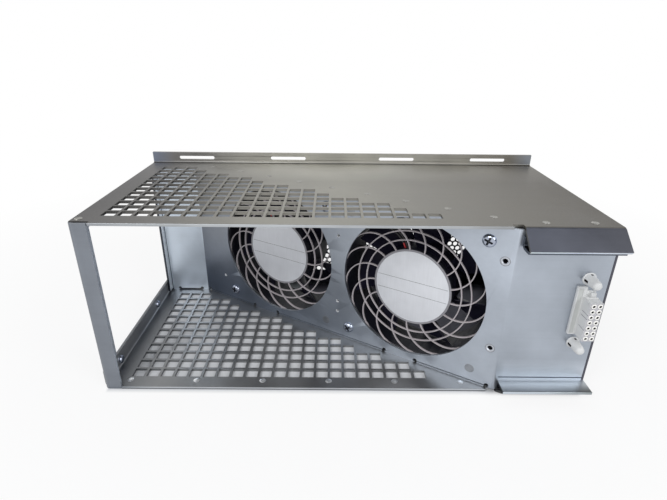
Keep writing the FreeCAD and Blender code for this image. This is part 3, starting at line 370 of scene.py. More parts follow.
# Fans
GUARD = moulded("guard_plastic", linear(166, 160, 163), 0.5)
GUARD_RING = moulded("guard_ring", linear(132, 131, 136), 0.5)
FRAME_BLACK = moulded("frame_plastic", linear(24, 25, 34), 0.42)
IMPELLER_BLACK = moulded("impeller_plastic", linear(32, 31, 46), 0.34, specular=0.2)
LABEL = label_film("label_film", linear(207, 209, 214))
PRINT = moulded("label_print", linear(52, 52, 56), 0.6, 1600)
STEEL = bright_metal("motor_steel", linear(165, 165, 168), 0.32, (1, 1, 8))
BRASS = bright_metal("tube_brass", linear(190, 158, 92), 0.3, (1, 1, 8))
COPPER = bright_metal("coil_copper", linear(176, 98, 56), 0.35, (1, 1, 14))
FERRITE = moulded("magnet_ferrite", linear(54, 52, 52), 0.6)
BOARD = moulded("board_laminate", linear(30, 92, 58), 0.35, 500, 0.2)
LEAD_RED = moulded("lead_red", linear(176, 40, 44), 0.4, 1200)
LEAD_BLACK = moulded("lead_black", linear(28, 27, 28), 0.4, 1200)

# Connector: one plastic in lit and shaded copies, with painted shade in its flange's tray, grooves, sockets
# and peg slots and on its face between the rings, and a painted highlight on the rings
CONNECTOR = moulded("connector_plastic", linear(200, 201, 201), 0.42, 1200, 0.04)
CONNECTOR_SHADE = moulded("connector_shade", linear(186, 188, 186), 0.5, 1200, 0.04)
CONNECTOR_GROOVE_SHADE = moulded("connector_groove_shade", linear(132, 132, 140), 0.5, 1200, 0.04)
CONNECTOR_FACE_SHADE = moulded("connector_face_shade", linear(172, 171, 175), 0.5, 1200, 0.04)
CONNECTOR_RING_LIT = moulded("connector_ring_lit", linear(232, 231, 227), 0.4, 1200, 0.03)
HOLE_SHADE = moulded("socket_shade", linear(30, 27, 24), 0.6)
CONTACT = bright_metal("contact_brass", linear(214, 190, 130), 0.3)

# Solids that keep their shape and get a material here; the sheets' materials carry painted light
SHEET_LOOKS = {
    "top_plate": SHEET_TOP, "bottom_plate": SHEET_FLOOR, "fan_plate": SHEET_FAN, "left_post": SHEET_POST,
    "right_side_panel": SHEET_SIDE, "upper_ledge": SHEET_LEDGE_SHADED, "front_cover": SHEET_COVER,
}
SMALL_LOOKS = {"fan_studs": FASTENER_DULL, "connector_contacts": CONTACT}
FAN_LOOKS = {
    "fan_frame": FRAME_BLACK, "bearing_tube": BRASS, "bearing_rear": STEEL, "bearing_front": STEEL,
    "spring_washer": STEEL, "stator_core": STEEL, "stator_coils": COPPER, "circuit_board": BOARD,
    "rotor_yoke": STEEL, "magnet_ring": FERRITE, "shaft": STEEL, "retaining_clip": STEEL,
}
SHEET_EDGE, FRAME_EDGE = 0.25, 0.3


def dress_cad(name, material):
    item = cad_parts[name]
    item.data.materials.clear()
    item.data.materials.append(material)


def round_edges(item, width, segments, degrees):
    """Round the edges that are sharper than an angle."""
    bevel = item.modifiers.new("edges", "BEVEL")
    bevel.width = width * MM
    bevel.segments = segments
    bevel.limit_method = "ANGLE"
    bevel.angle_limit = math.radians(degrees)


def soften_cad(name, width):
    """Narrow rounded edges, which catch the light as cut and bent sheet does."""
    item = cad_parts[name]
    weld = item.modifiers.new("weld", "WELD")
    weld.merge_threshold = 0.01 * MM
    round_edges(item, width, 2, 40)


def round_corners(item, width, segments=3):
    round_edges(item, width, segments, 50)


def dress_solids():
    for name, look in {**SHEET_LOOKS, **SMALL_LOOKS}.items():
        dress_cad(name, look)
    for name in SHEET_LOOKS:
        soften_cad(name, SHEET_EDGE)
    for side in FAN_STATIONS:
        for name, look in FAN_LOOKS.items():
            dress_cad(f"{name}_{side}", look)
        soften_cad("fan_frame_" + side, FRAME_EDGE)


# Mesh helpers: shapes are drawn in millimetres in a local frame, then put in place
def finish_piece(name, mesh, place, materials, stands_for=(), smooth=40, body="tray"):
    """Turn a drawn mesh into a named piece that rides on a body."""
    data = bpy.data.meshes.new(name)
    bmesh.ops.remove_doubles(mesh, verts=mesh.verts, dist=0.001)
    bmesh.ops.recalc_face_normals(mesh, faces=mesh.faces)
    mesh.transform(place)
    if place.determinant() < 0:
        bmesh.ops.reverse_faces(mesh, faces=mesh.faces)
    mesh.to_mesh(data)
    mesh.free()
    for material in materials:
        data.materials.append(material)
    data.shade_smooth()
    data.set_sharp_from_angle(angle=math.radians(smooth))
    item = bpy.data.objects.new(name, data)
    bpy.context.scene.collection.objects.link(item)
    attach(item, body)
    if stands_for:
        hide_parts(*stands_for)
    return item


def round_angles(steps):
    return [2 * math.pi * k / steps for k in range(steps)]


def polar(radius, degrees):
    angle = math.radians(degrees)
    return Vector((radius * math.cos(angle), radius * math.sin(angle), 0))


def quad_strip(mesh, first, second, index=0):
    """Faces between two closed rows of vertices."""
    count = len(first)
    for i in range(count):
        j = (i + 1) % count
        corners = [first[i], first[j], second[j], second[i]]
        face = mesh.faces.new(list(dict.fromkeys(corners)))
        face.material_index = index


def close_rows(mesh, rows, index=0):
    """Faces between closed rows of vertices in turn, and one on each end."""
    for first, second in zip(rows, rows[1:]):
        quad_strip(mesh, first, second, index)
    for row in (rows[0], rows[-1]):
        mesh.faces.new(row).material_index = index


def lathe(mesh, profile, steps, centre=(0, 0, 0), closed=False, index=0):
    """Turn a profile of radius and height about the local z axis. Points on the axis are joined."""
    cx, cy, cz = centre
    rows = []
    for radius, height in profile:
        if radius == 0:
            tip = mesh.verts.new((cx, cy, cz + height))
            rows.append([tip] * steps)
            continue
        rows.append([mesh.verts.new((cx + radius * math.cos(a), cy + radius * math.sin(a), cz + height))
                     for a in round_angles(steps)])
    pairs = list(zip(rows, rows[1:]))
    if closed:
        pairs.append((rows[-1], rows[0]))
    for first, second in pairs:
        quad_strip(mesh, first, second, index)


def sweep(mesh, path, section, closed=False, index=0):
    """Carry a section of (sideways, height) points along a flat path."""
    count = len(path)
    rows = []
    for i, point in enumerate(path):
        before = path[i - 1] if closed or i else point
        after = path[(i + 1) % count] if closed or i < count - 1 else point
        direction = (after - before).normalized()
        sideways = Vector((-direction.y, direction.x, 0))
        rows.append([mesh.verts.new(point + sideways * a + Vector((0, 0, h))) for a, h in section])
    if not closed:
        close_rows(mesh, rows, index)
        return
    for first, second in zip(rows, rows[1:] + rows[:1]):
        quad_strip(mesh, first, second, index)


def add_box(mesh, low, high, index=0):
    corners = [mesh.verts.new((x, y, z)) for x in (low[0], high[0]) for y in (low[1], high[1])
               for z in (low[2], high[2])]
    for loop in ((0, 1, 3, 2), (4, 6, 7, 5), (0, 4, 5, 1), (2, 3, 7, 6), (0, 2, 6, 4), (1, 5, 7, 3)):
        mesh.faces.new([corners[i] for i in loop]).material_index = index


def add_copy(mesh, piece, place):
    """Add a drawn piece to a mesh at a place, and free it."""
    piece.transform(place)
    data = bpy.data.meshes.new("copy")
    piece.to_mesh(data)
    piece.free()
    mesh.from_mesh(data)
    bpy.data.meshes.remove(data)


def only_verts(items):
    return [item for item in items if isinstance(item, bmesh.types.BMVert)]


def cutter_object(mesh, place, material):
    """A shape to cut with; the cut faces take its material."""
    data = bpy.data.meshes.new("cutter")
    data.materials.append(material)
    bmesh.ops.recalc_face_normals(mesh, faces=mesh.faces)
    mesh.transform(place)
    mesh.to_mesh(data)
    mesh.free()
    item = bpy.data.objects.new("cutter", data)
    bpy.context.scene.collection.objects.link(item)
    return item


def carve(item, cutter):
    """Cut one mesh out of a piece for good."""
    change = item.modifiers.new("carve", "BOOLEAN")
    change.operation = "DIFFERENCE"
    change.solver = "EXACT"
    change.material_mode = "TRANSFER"
    change.object = cutter
    shaped = item.evaluated_get(bpy.context.evaluated_depsgraph_get())
    carved = bpy.data.meshes.new_from_object(shaped)
    item.modifiers.remove(change)
    old = item.data
    carved.name = item.name
    item.data = carved
    bpy.data.meshes.remove(old)
    bpy.data.objects.remove(cutter)


def fan_place(side):
    """A fan's own frame: z runs from the label side into the tray."""
    return PLATE @ Matrix.Translation((FAN_STATIONS[side], FAN_Z, GAUGE))


# Spiral guard
BASE_RADIUS, BASE_INNER, BASE_HOLE, LABEL_RADIUS = 31.5, 29.4, 6.0, 30.0
BASE_SEAT, BASE_FLOOR, BASE_FOOT = 1.4, 3.2, 7.0
RIM_INNER, RIM_OUTER, RIM_FACE, RIM_BACK = 57.7, 59.2, 1.3, 4.2
RINGS = (38.8, 46.1)
SPOKES, SPOKE_START, SPOKE_WIDTH = 17, 167.5, 1.0
SPOKE_STATIONS = ((BASE_RADIUS, 0.0), (46.1, -8.2), (RIM_INNER, -26.3))
GUARD_FACE, GUARD_BACK = 1.0, 2.6
RIB_SHOULDER, RIB_CROWN, RIB_TURN = 0.55, 0.16, 0.72
SPOKE_LIFT, LIFT_START = 0.8, 50.0
ROUND_STEPS, RIM_STEPS = 96, 120


def circle_through(a, b, c):
    """Centre of the circle through three points of a plane."""
    d = 2 * (a.x * (b.y - c.y) + b.x * (c.y - a.y) + c.x * (a.y - b.y))
    squares = [p.x ** 2 + p.y ** 2 for p in (a, b, c)]
    x = (squares[0] * (b.y - c.y) + squares[1] * (c.y - a.y) + squares[2] * (a.y - b.y)) / d
    y = (squares[0] * (c.x - b.x) + squares[1] * (a.x - c.x) + squares[2] * (b.x - a.x)) / d
    return Vector((x, y, 0))


def spoke_path(inner, outer, steps=18):
    """A spoke's middle line: radial at the motor base, then round to the rim in one arc."""
    a, b, c = (polar(radius, sweep_angle) for radius, sweep_angle in SPOKE_STATIONS)
    centre = circle_through(a, b, c)
    bow, away = (a - centre).length, centre.length
    points = []
    for k in range(steps + 1):
        radius = inner + (outer - inner) * k / steps
        swing = math.acos((radius ** 2 + away ** 2 - bow ** 2) / (2 * radius * away))
        points.append(polar(radius, math.degrees(math.atan2(centre.y, centre.x) + swing)))
    return points


def turn(points, degrees):
    spin = Matrix.Rotation(math.radians(degrees), 3, "Z")
    return [spin @ point for point in points]


def lifted(points):
    """Raise a spoke's outer stretch to the frame's face, over the rim."""
    run = RIM_OUTER - LIFT_START
    rises = [SPOKE_LIFT * max(0.0, point.length - LIFT_START) / run for point in points]
    return [point - Vector((0, 0, rise)) for point, rise in zip(points, rises)]


def guard_rib():
    """The section of a rib, with a rounded face towards the viewer of the label."""
    half = SPOKE_WIDTH / 2
    bend = half * RIB_TURN
    shoulder, crown = GUARD_FACE + RIB_SHOULDER, GUARD_FACE + RIB_CROWN
    return [(-half, GUARD_BACK), (-half, shoulder), (-bend, crown), (0, GUARD_FACE), (bend, crown),
            (half, shoulder), (half, GUARD_BACK)]


def fan_guard(side):
    """Ribs, a dark rim below them, and the motor base with a light ring round the label."""
    mesh = bmesh.new()
    rib = guard_rib()
    spoke = lifted(spoke_path(BASE_RADIUS - 0.6, RIM_OUTER - 0.1))
    for k in range(SPOKES):
        sweep(mesh, turn(spoke, SPOKE_START - k * 360 / SPOKES), rib)
    for radius in RINGS:
        circle = [polar(radius, 360 * k / ROUND_STEPS) for k in range(ROUND_STEPS)]
        sweep(mesh, circle, rib, closed=True)
    rim = [(RIM_INNER, RIM_BACK), (RIM_INNER, RIM_FACE + 0.3), (RIM_INNER + 0.3, RIM_FACE),
           (RIM_OUTER - 0.2, RIM_FACE), (RIM_OUTER, RIM_FACE + 0.2), (RIM_OUTER, RIM_BACK)]
    lathe(mesh, rim, RIM_STEPS, closed=True, index=1)
    shoulder = GUARD_FACE + 0.6
    ring = [(BASE_HOLE, BASE_SEAT), (LABEL_RADIUS, BASE_SEAT), (LABEL_RADIUS + 0.1, GUARD_FACE + 0.12),
            (LABEL_RADIUS + 0.4, GUARD_FACE), (BASE_RADIUS - 0.6, GUARD_FACE),
            (BASE_RADIUS - 0.2, GUARD_FACE + 0.15), (BASE_RADIUS, shoulder)]
    # The motor base's side takes the frame's black: painted shade on the grey moulding
    skirt = [(BASE_RADIUS, shoulder), (BASE_RADIUS, BASE_FOOT), (BASE_INNER, BASE_FOOT),
             (BASE_INNER, BASE_FLOOR), (BASE_HOLE, BASE_FLOOR), (BASE_HOLE, BASE_SEAT)]
    lathe(mesh, ring, ROUND_STEPS, index=2)
    lathe(mesh, skirt, ROUND_STEPS, index=1)
    finish_piece("spiral_guard_" + side, mesh, fan_place(side), [GUARD, FRAME_BLACK, GUARD_RING],
                 ["fan_guard_" + side])


# Label: bare film with two plain printed rules across it
LABEL_FACE = 1.15
RULE_HEIGHTS, RULE_INSET, RULE_HALF = (5.4, -5.6), 1.2, 0.12


def fan_label(side):
    mesh = bmesh.new()
    film = [(0, LABEL_FACE), (LABEL_RADIUS - 0.5, LABEL_FACE), (LABEL_RADIUS - 0.25, LABEL_FACE + 0.05),
            (LABEL_RADIUS - 0.2, BASE_SEAT), (0, BASE_SEAT)]
    lathe(mesh, film, ROUND_STEPS)
    for height in RULE_HEIGHTS:
        reach = math.sqrt((LABEL_RADIUS - RULE_INSET) ** 2 - height ** 2)
        low = (-reach, height - RULE_HALF, LABEL_FACE - 0.03)
        high = (reach, height + RULE_HALF, LABEL_FACE + 0.01)
        add_box(mesh, low, high, 1)
    finish_piece("motor_label_" + side, mesh, fan_place(side), [LABEL, PRINT],
                 ["fan_label_" + side])


# Impeller
HUB_RADIUS, HUB_INNER, HUB_HOLE = 31.0, 28.0, 2.0
HUB_LOW, HUB_FLOOR, HUB_TOP = 8.6, 33.0, 36.0
BLADES, BLADE_TIP, BLADE_LOW, BLADE_HIGH = 7, 56.6, 9.6, 33.4
ROOT_PLANE, TIP_PLANE = 28.4, 58.0
ROOT_RUN, TIP_RUN, TIP_LAG, CAMBER = 15.0, 36.0, 8.0, 3.0
BLADE_SKIN, BLADE_EDGE = 1.0, 0.35
CHORD_STEPS, SPAN_STEPS = 12, 8


def blade_point(u, v, offset):
    """A point on a blade: u from its low edge to its high edge, v from the root plane to the tip plane."""
    run = ROOT_RUN + (TIP_RUN - ROOT_RUN) * v
    lag = TIP_LAG * v
    chord = Vector((0, run, BLADE_HIGH - BLADE_LOW))
    across = Vector((0, -chord.z, chord.y)).normalized()
    start = Vector((ROOT_PLANE + (TIP_PLANE - ROOT_PLANE) * v, -run / 2 - lag, BLADE_LOW))
    return start + chord * u + across * (CAMBER * 4 * u * (1 - u) + offset)


def blade_reach(u, offset, radius):
    """How far out along the blade its surface meets a cylinder about the axis, found by halving."""
    low, high = -0.3, 1.2
    for _ in range(40):
        middle = (low + high) / 2
        point = blade_point(u, middle, offset)
        if math.hypot(point.x, point.y) < radius:
            low = middle
        else:
            high = middle
    return low


def blade_outline():
    """Both skins of a blade, from its low edge up and back, thinner towards the edges."""
    outline = []
    for skin, order in ((1, range(CHORD_STEPS + 1)), (-1, range(CHORD_STEPS, -1, -1))):
        for k in order:
            u = k / CHORD_STEPS
            swell = BLADE_EDGE + (1 - BLADE_EDGE) * math.sin(math.pi * u) ** 0.5
            outline.append((u, skin * BLADE_SKIN * swell))
    return outline


def add_blade(mesh, degrees):
    spin = Matrix.Rotation(math.radians(degrees), 3, "Z")
    rows = []
    for step in range(SPAN_STEPS + 1):
        row = []
        for u, offset in blade_outline():
            root = blade_reach(u, offset, HUB_RADIUS - 0.6)
            tip = blade_reach(u, offset, BLADE_TIP)
            v = root + (tip - root) * step / SPAN_STEPS
            row.append(mesh.verts.new(spin @ blade_point(u, v, offset)))
        rows.append(row)
    close_rows(mesh, rows)


def impeller(side):
    mesh = bmesh.new()
    hub = [(HUB_HOLE, HUB_FLOOR), (HUB_INNER, HUB_FLOOR), (HUB_INNER, HUB_LOW), (HUB_RADIUS, HUB_LOW),
           (HUB_RADIUS, HUB_TOP - 2.4), (HUB_RADIUS - 0.6, HUB_TOP - 1.1), (HUB_RADIUS - 2.4, HUB_TOP),
           (HUB_HOLE, HUB_TOP)]
    lathe(mesh, hub, ROUND_STEPS, closed=True)
    for k in range(BLADES):
        add_blade(mesh, k * 360 / BLADES)
    finish_piece("blade_wheel_" + side, mesh, fan_place(side), [IMPELLER_BLACK],
                 ["impeller_" + side], body="rotor_" + side)


# Two insulated leads beside one spoke, from the circuit board to the frame, in a black sleeve past the base
LEAD_SPOKE, LEAD_SHIFT, LEAD_SPREAD, LEAD_HEIGHT, LEAD_RADIUS = 4, 7.5, 1.7, 5.0, 0.7
BOARD_RADIUS, SLEEVE_RADIUS, BORE_RADIUS = 27.0, 35.5, 58.0
LEAD_SIDES = 10


def leads(side):
    mesh = bmesh.new()
    section = [(LEAD_RADIUS * math.cos(a), LEAD_HEIGHT + LEAD_RADIUS * math.sin(a))
               for a in round_angles(LEAD_SIDES)]
    near = spoke_path(BASE_RADIUS, SLEEVE_RADIUS, 4)
    near = [near[0] * (BOARD_RADIUS / BASE_RADIUS)] + near
    far = spoke_path(SLEEVE_RADIUS, BORE_RADIUS)
    start = SPOKE_START - LEAD_SPOKE * 360 / SPOKES - LEAD_SHIFT
    for index, shift in enumerate((-LEAD_SPREAD, LEAD_SPREAD)):
        sweep(mesh, turn(near, start + shift), section, index=index)
        sweep(mesh, turn(far, start + shift), section, index=1)
    finish_piece("motor_leads_" + side, mesh, fan_place(side), [LEAD_RED, LEAD_BLACK],
                 ["lead_wires_" + side])


# Intake screen: round holes in staggered rows
HOLE_RADIUS, HOLE_PITCH, HOLE_SIDES = 2.25, 5.7, 16
ROW_PITCH = HOLE_PITCH * math.sqrt(3) / 2
SCREEN_Y, SCREEN_GAUGE = 171.5, 1.0
SCREEN_LOW, SCREEN_HIGH = (12.0, 6.0), (343.8, 126.5)
SCREEN_COLUMNS, SCREEN_ROWS = 55, 21
NEAR = 0.01


def screen_cell(mesh, x, z):
    """One brick of the sheet with its hole. Its long sides have a middle point for the next row."""
    half, rise = HOLE_PITCH / 2, ROW_PITCH / 2
    border = [(half, 0), (half, rise), (0, rise), (-half, rise), (-half, 0), (-half, -rise), (0, -rise),
              (half, -rise)]
    outer = [mesh.verts.new((x + a, 0, z + b)) for a, b in border]
    inner = [mesh.verts.new((x + HOLE_RADIUS * math.cos(a), 0, z + HOLE_RADIUS * math.sin(a)))
             for a in round_angles(HOLE_SIDES)]
    for k, corner in enumerate(outer):
        following = outer[(k + 1) % len(outer)]
        mesh.faces.new([corner, following, inner[(2 * k + 2) % HOLE_SIDES], inner[2 * k + 1], inner[2 * k]])


def half_cell(mesh, x, z, towards):
    """The plain half brick that squares off a row's end."""
    half, rise = HOLE_PITCH / 2, ROW_PITCH / 2
    mesh.faces.new([mesh.verts.new((x, 0, z + b)) for b in (-rise, 0, rise)]
                   + [mesh.verts.new((x + towards * half, 0, z + b)) for b in (rise, 0, -rise)])


def widen_border(mesh, limits):
    """Carry the bricks' outer edges to the sheet's own edges. Each limit is an axis and two places."""
    def at(vert, axis, place):
        return abs(vert.co[axis] - place) < NEAR

    border = [edge for edge in mesh.edges if edge.is_boundary
              and any(all(at(vert, axis, inner) for vert in edge.verts) for axis, inner, _ in limits)]
    rim = bmesh.ops.extrude_edge_only(mesh, edges=border)["geom"]
    for vert in only_verts(rim):
        for axis, inner, outer in limits:
            if at(vert, axis, inner):
                vert.co[axis] = outer


def intake_screen():
    mesh = bmesh.new()
    middle_x, middle_z = (SCREEN_LOW[0] + SCREEN_HIGH[0]) / 2, (SCREEN_LOW[1] + SCREEN_HIGH[1]) / 2
    left = middle_x - SCREEN_COLUMNS * HOLE_PITCH / 2
    low = middle_z - SCREEN_ROWS * ROW_PITCH / 2
    right, high = 2 * middle_x - left, 2 * middle_z - low
    for row in range(SCREEN_ROWS):
        z = low + (row + 0.5) * ROW_PITCH
        shifted = row % 2
        for column in range(SCREEN_COLUMNS - shifted):
            screen_cell(mesh, left + (column + 0.5 + shifted / 2) * HOLE_PITCH, z)
        if shifted:
            half_cell(mesh, left, z, 1)
            half_cell(mesh, right, z, -1)
    bmesh.ops.remove_doubles(mesh, verts=mesh.verts, dist=NEAR)
    widen_border(mesh, ((0, left, SCREEN_LOW[0]), (0, right, SCREEN_HIGH[0]),
                        (2, low, SCREEN_LOW[1]), (2, high, SCREEN_HIGH[1])))
    sheet = bmesh.ops.extrude_face_region(mesh, geom=list(mesh.faces))["geom"]
    bmesh.ops.translate(mesh, vec=(0, SCREEN_GAUGE, 0), verts=only_verts(sheet))
    bmesh.ops.translate(mesh, vec=(0, SCREEN_Y, 0), verts=mesh.verts)
    finish_piece("perforated_screen", mesh, TRAY, [SHEET_COVER], ["intake_screen"])


# Pan-head screws: the local z axis points into the sheet
PAN_HEIGHT, FAN_SCREW_RADIUS, RAIL_SCREW_RADIUS = 2.4, 4.8, 3.4
PAN_STEPS = 40
# The head's outline, as shares of its radius and height
PAN_OUTLINE = ((0, 1), (0.45, 0.98), (0.72, 0.84), (0.9, 0.55), (0.98, 0.22))
SCREW_CORNERS, STUD_CORNERS = ((-1, 1), (1, -1)), ((-1, -1), (1, 1))
FAN_SCREW_ANGLES, RAIL_SCREW_ANGLES = (20, 55, 35, 10), (15, 40)
RAIL = TRAY @ Matrix(((0, 0, -1, GAUGE), (1, 0, 0, 0), (0, 1, 0, 0), (0, 0, 0, 1)))
RAIL_SCREWS = ((26.0, 7.2), (111.0, 7.2))


def fan_corners(corners):
    half = SCREW_SQUARE / 2
    return [(station + along * half, FAN_Z + up * half)
            for station in FAN_STATIONS.values() for along, up in corners]


def cross_recess(mesh, centre, size, depth, degrees):
    """A tapered cross, as deep as the driver reaches."""
    arm, half = size / 2, size * 0.12
    outline = [(arm, -half), (arm, half), (half, half)]
    rows = []
    for height, shrink in ((-1.0, 1.0), (0.0, 1.0), (depth, 0.7)):
        row = []
        for quarter in range(4):
            spin = Matrix.Rotation(math.radians(degrees + 90 * quarter), 3, "Z")
            corners = [spin @ Vector((a * shrink, b * shrink, height)) for a, b in outline]
            row += [mesh.verts.new(Vector(centre) + corner) for corner in corners]
        rows.append(row)
    close_rows(mesh, rows)


def pan_heads(name, places, radius, place, node, angles):
    mesh, recess = bmesh.new(), bmesh.new()
    profile = [(radius * a, -PAN_HEIGHT * b) for a, b in PAN_OUTLINE]
    profile += [(radius, -0.05), (radius, 0.0), (0, 0.0)]
    for (x, y), degrees in zip(places, angles):
        lathe(mesh, profile, PAN_STEPS, (x, y, 0))
        cross_recess(recess, (x, y, -PAN_HEIGHT), radius * 1.3, PAN_HEIGHT * 0.8, degrees)
    item = finish_piece(name, mesh, place, [SCREW_METAL], [node])
    # The cross recesses' faces take painted shade
    carve(item, cutter_object(recess, place, RECESS_SHADE))


# Clinch nuts, stud marks and rivets: outlines of radius and height
TURNED_STEPS = 32
NUT_PLACES = ((6.5, 36.8, 0), (6.5, 106.5, 0))
THREAD_RADIUS, NUT_RADIUS, NUT_EDGE, NUT_DEPTH = 1.65, 2.95, 3.65, 5.0
NUT_FACE = [(THREAD_RADIUS, 0.35), (2.0, -0.05), (2.5, -0.12), (NUT_RADIUS, -0.12)]
NUT_REST = [(NUT_RADIUS, -0.12), (3.3, -0.06), (3.62, 0.02), (NUT_EDGE, 0.2), (NUT_EDGE, GAUGE),
            (NUT_RADIUS, GAUGE), (NUT_RADIUS, NUT_DEPTH), (THREAD_RADIUS, NUT_DEPTH), (THREAD_RADIUS, 0.35)]
STUD_MARK = [(0, -0.04), (2.7, -0.04), (3.0, -0.02), (3.2, -0.07), (3.5, -0.06), (3.6, 0.01), (0, 0.01)]
RIVET_PROFILE = [(0, 0.12), (0.9, 0.1), (1.2, 0.04), (1.5, 0.1), (2.0, 0.28), (2.3, 0.26), (2.5, 0.1),
                 (2.55, 0.0), (0, 0.0)]
FLOOR_RIVET = [(0, 0.62), (0.8, 0.58), (1.6, 0.4), (2.2, 0.2), (2.5, 0.0), (0, 0.0)]
# Top rivets follow the plate, with three more along the rear edge; the floor's stand in one row
TOP_COUNT, TOP_START, TOP_PITCH, TOP_DEPTH = 9, 20.0, 31.6, 8.6
EDGE_RIVETS, EDGE_INSET = (4.2, 308.0, 340.0), 8.0
FLOOR_COUNT, FLOOR_START, FLOOR_PITCH = 6, 16.2, 50.3


def clinch_nuts():
    """Pressed nuts: a bright face round the thread, and a duller edge where the sheet closes in."""
    mesh = bmesh.new()
    for centre in NUT_PLACES:
        lathe(mesh, NUT_FACE, TURNED_STEPS, centre)
        lathe(mesh, NUT_REST, TURNED_STEPS, centre, index=1)
    finish_piece("clinch_nut_rings", mesh, PLATE, [NUT_METAL, FASTENER_DULL],
                 ["clinch_nuts"])


def turned_row(name, places, profile, place, material, stands_for=()):
    """The same turned shape at several places."""
    mesh = bmesh.new()
    for centre in places:
        lathe(mesh, profile, TURNED_STEPS, centre)
    finish_piece(name, mesh, place, [material], stands_for)


def stud_marks():
    places = [(x, y, 0) for x, y in fan_corners(STUD_CORNERS)]
    turned_row("flush_stud_marks", places, STUD_MARK, PLATE, FASTENER_DULL)


def plate_to_tray(along, depth):
    """A place on the fan plate, as x and y of the tray."""
    return (BEND_X - along * math.cos(SLANT) + depth * math.sin(SLANT),
            along * math.sin(SLANT) + depth * math.cos(SLANT))


def rivets():
    top = [(*plate_to_tray(TOP_START + k * TOP_PITCH, TOP_DEPTH), HEIGHT)
           for k in range(TOP_COUNT)]
    top += [(x, EDGE_INSET, HEIGHT) for x in EDGE_RIVETS]
    turned_row("top_rivet_rings", top, RIVET_PROFILE, TRAY, RIVET_DULL, ["top_rivets"])
    low = [(FLOOR_START + k * FLOOR_PITCH, EDGE_INSET, GAUGE) for k in range(FLOOR_COUNT)]
    turned_row("floor_rivet_domes", low, FLOOR_RIVET, TRAY, RIVET_METAL, ["floor_rivets"])


# Pale liners in the plate's small holes: a painted highlight for the light caught on their bores
LINER_PLACES = ((135.0, 96.5, 0), (135.0, 36.4, 0), (135.0, 26.5, 0), (263.3, 26.2, 0))
LINER_RADIUS, LINER_WALL, LINER_INSET, LINER_STEPS = 1.36, 0.12, 0.1, 20


def hole_liners():
    mesh = bmesh.new()
    inner, front, back = LINER_RADIUS - LINER_WALL, LINER_INSET, GAUGE - LINER_INSET
    profile = [(inner, front), (LINER_RADIUS, front), (LINER_RADIUS, back), (inner, back)]
    for centre in LINER_PLACES:
        lathe(mesh, profile, LINER_STEPS, centre, closed=True)
    finish_piece("hole_liners", mesh, PLATE, [BORE_HIGHLIGHT])


# Strips that fill the slits along the plate's foot but for a fine groove, whose back carries painted shade
SLITS = ((4.6, 61.9), (89.3, 200.5), (227.6, 287.0))
SLIT_END, SLIT_HEIGHT, SLIT_LINE, SLIT_DEPTH = 1.8, 1.6, 0.85, 0.7
SLIT_PLAY = 0.05


def slit_strips():
    mesh = bmesh.new()
    groove = GAUGE + SLIT_HEIGHT - SLIT_LINE
    top = GAUGE + SLIT_HEIGHT - SLIT_PLAY
    back = GAUGE - SLIT_PLAY
    for start, end in SLITS:
        left, right = start + SLIT_END, end - SLIT_END
        add_box(mesh, (left, GAUGE + SLIT_PLAY, SLIT_PLAY), (right, groove, back))
        add_box(mesh, (left, groove + SLIT_PLAY, SLIT_DEPTH), (right, top, back), 1)
    finish_piece("slit_strips", mesh, PLATE, [SHEET_FAN, RECESS_SHADE])


# Sill of the nose: an angle close under the panel
SILL_START, SILL_TOP, SILL_FOOT, SILL_PLAY = 291.8, 11.45, 6.0, 0.05


def sill():
    mesh = bmesh.new()
    under = SILL_TOP - GAUGE
    back = GAUGE - SILL_PLAY
    outline = [(-NOSE_REACH, SILL_TOP), (back, SILL_TOP), (back, SILL_FOOT), (SILL_PLAY, SILL_FOOT),
               (SILL_PLAY, under), (-NOSE_REACH, under)]
    ends = [[mesh.verts.new((x, y, z)) for y, z in outline] for x in (SILL_START, WIDTH)]
    close_rows(mesh, ends)
    item = finish_piece("sill_angle", mesh, TRAY, [SHEET_SILL], ["lower_ledge"], 30)
    round_corners(item, SHEET_EDGE, 2)


# Blind-mate connector: y points away from the viewer, from the panel face
CONNECTOR_PLACE = TRAY @ Matrix.Translation((343.0, 0, 69.0))
CONNECTOR_HALF, CONNECTOR_TALL, CONNECTOR_REACH, CONNECTOR_BACK = 4.8, 14.7, 12.5, 14.0
CONTACT_PITCH, CONTACT_ROWS = 4.2, 7
SOCKET_RADIUS, SOCKET_DEPTH, SOCKET_STEPS, RING_STEPS = 0.9, 7.5, 14, 20
# Raised ring round a socket, by distance from the socket's edge and height, and a disc of painted shade
# inside it
RING_OUTLINE = ((0, -0.2), (0.05, 0.42), (0.25, 0.6), (0.55, 0.52), (0.8, 0.2), (0.85, -0.2))
SHADE_RADIUS, SHADE_TOP, SHADE_FOOT = SOCKET_RADIUS - 0.02, -1.2, -1.6
# Grooves on the side of the connector, by height
GROOVES, GROOVE_HALF, GROOVE_DEPTH, GROOVE_END = (5.5, 2.5, -6.0), 0.2, 0.35, -5.0
# Two corners of each block of the flange, of the shallow tray in it, and of each block of the latch
FLANGE_BOXES = (((-9.2, -2.5, -15.6), (-2.8, -0.02, 21.6)), ((-2.9, -2.4, -15.6), (3.2, -0.02, 18.6)))
FLANGE_TRAY = (-8.2, -3.5, -14.6), (-5.3, -2.0, 20.4)
LATCH_BOXES = (((-0.8, -4.6, 14.5), (2.8, -2.3, 18.1)), ((-4.4, -5.9, 14.5), (3.9, -5.0, 15.4)))
# These turn a shape drawn about z so that z points out of the panel, or into it
OUTWARD = Matrix(((1, 0, 0, 0), (0, 0, -1, 0), (0, 1, 0, 0), (0, 0, 0, 1)))
INWARD = OUTWARD @ Matrix.Rotation(math.pi, 4, "X")


def contact_centres():
    return [(column * CONTACT_PITCH, row * CONTACT_PITCH) for column in (-0.5, 0.5)
            for row in range(-(CONTACT_ROWS // 2), CONTACT_ROWS // 2 + 1)]


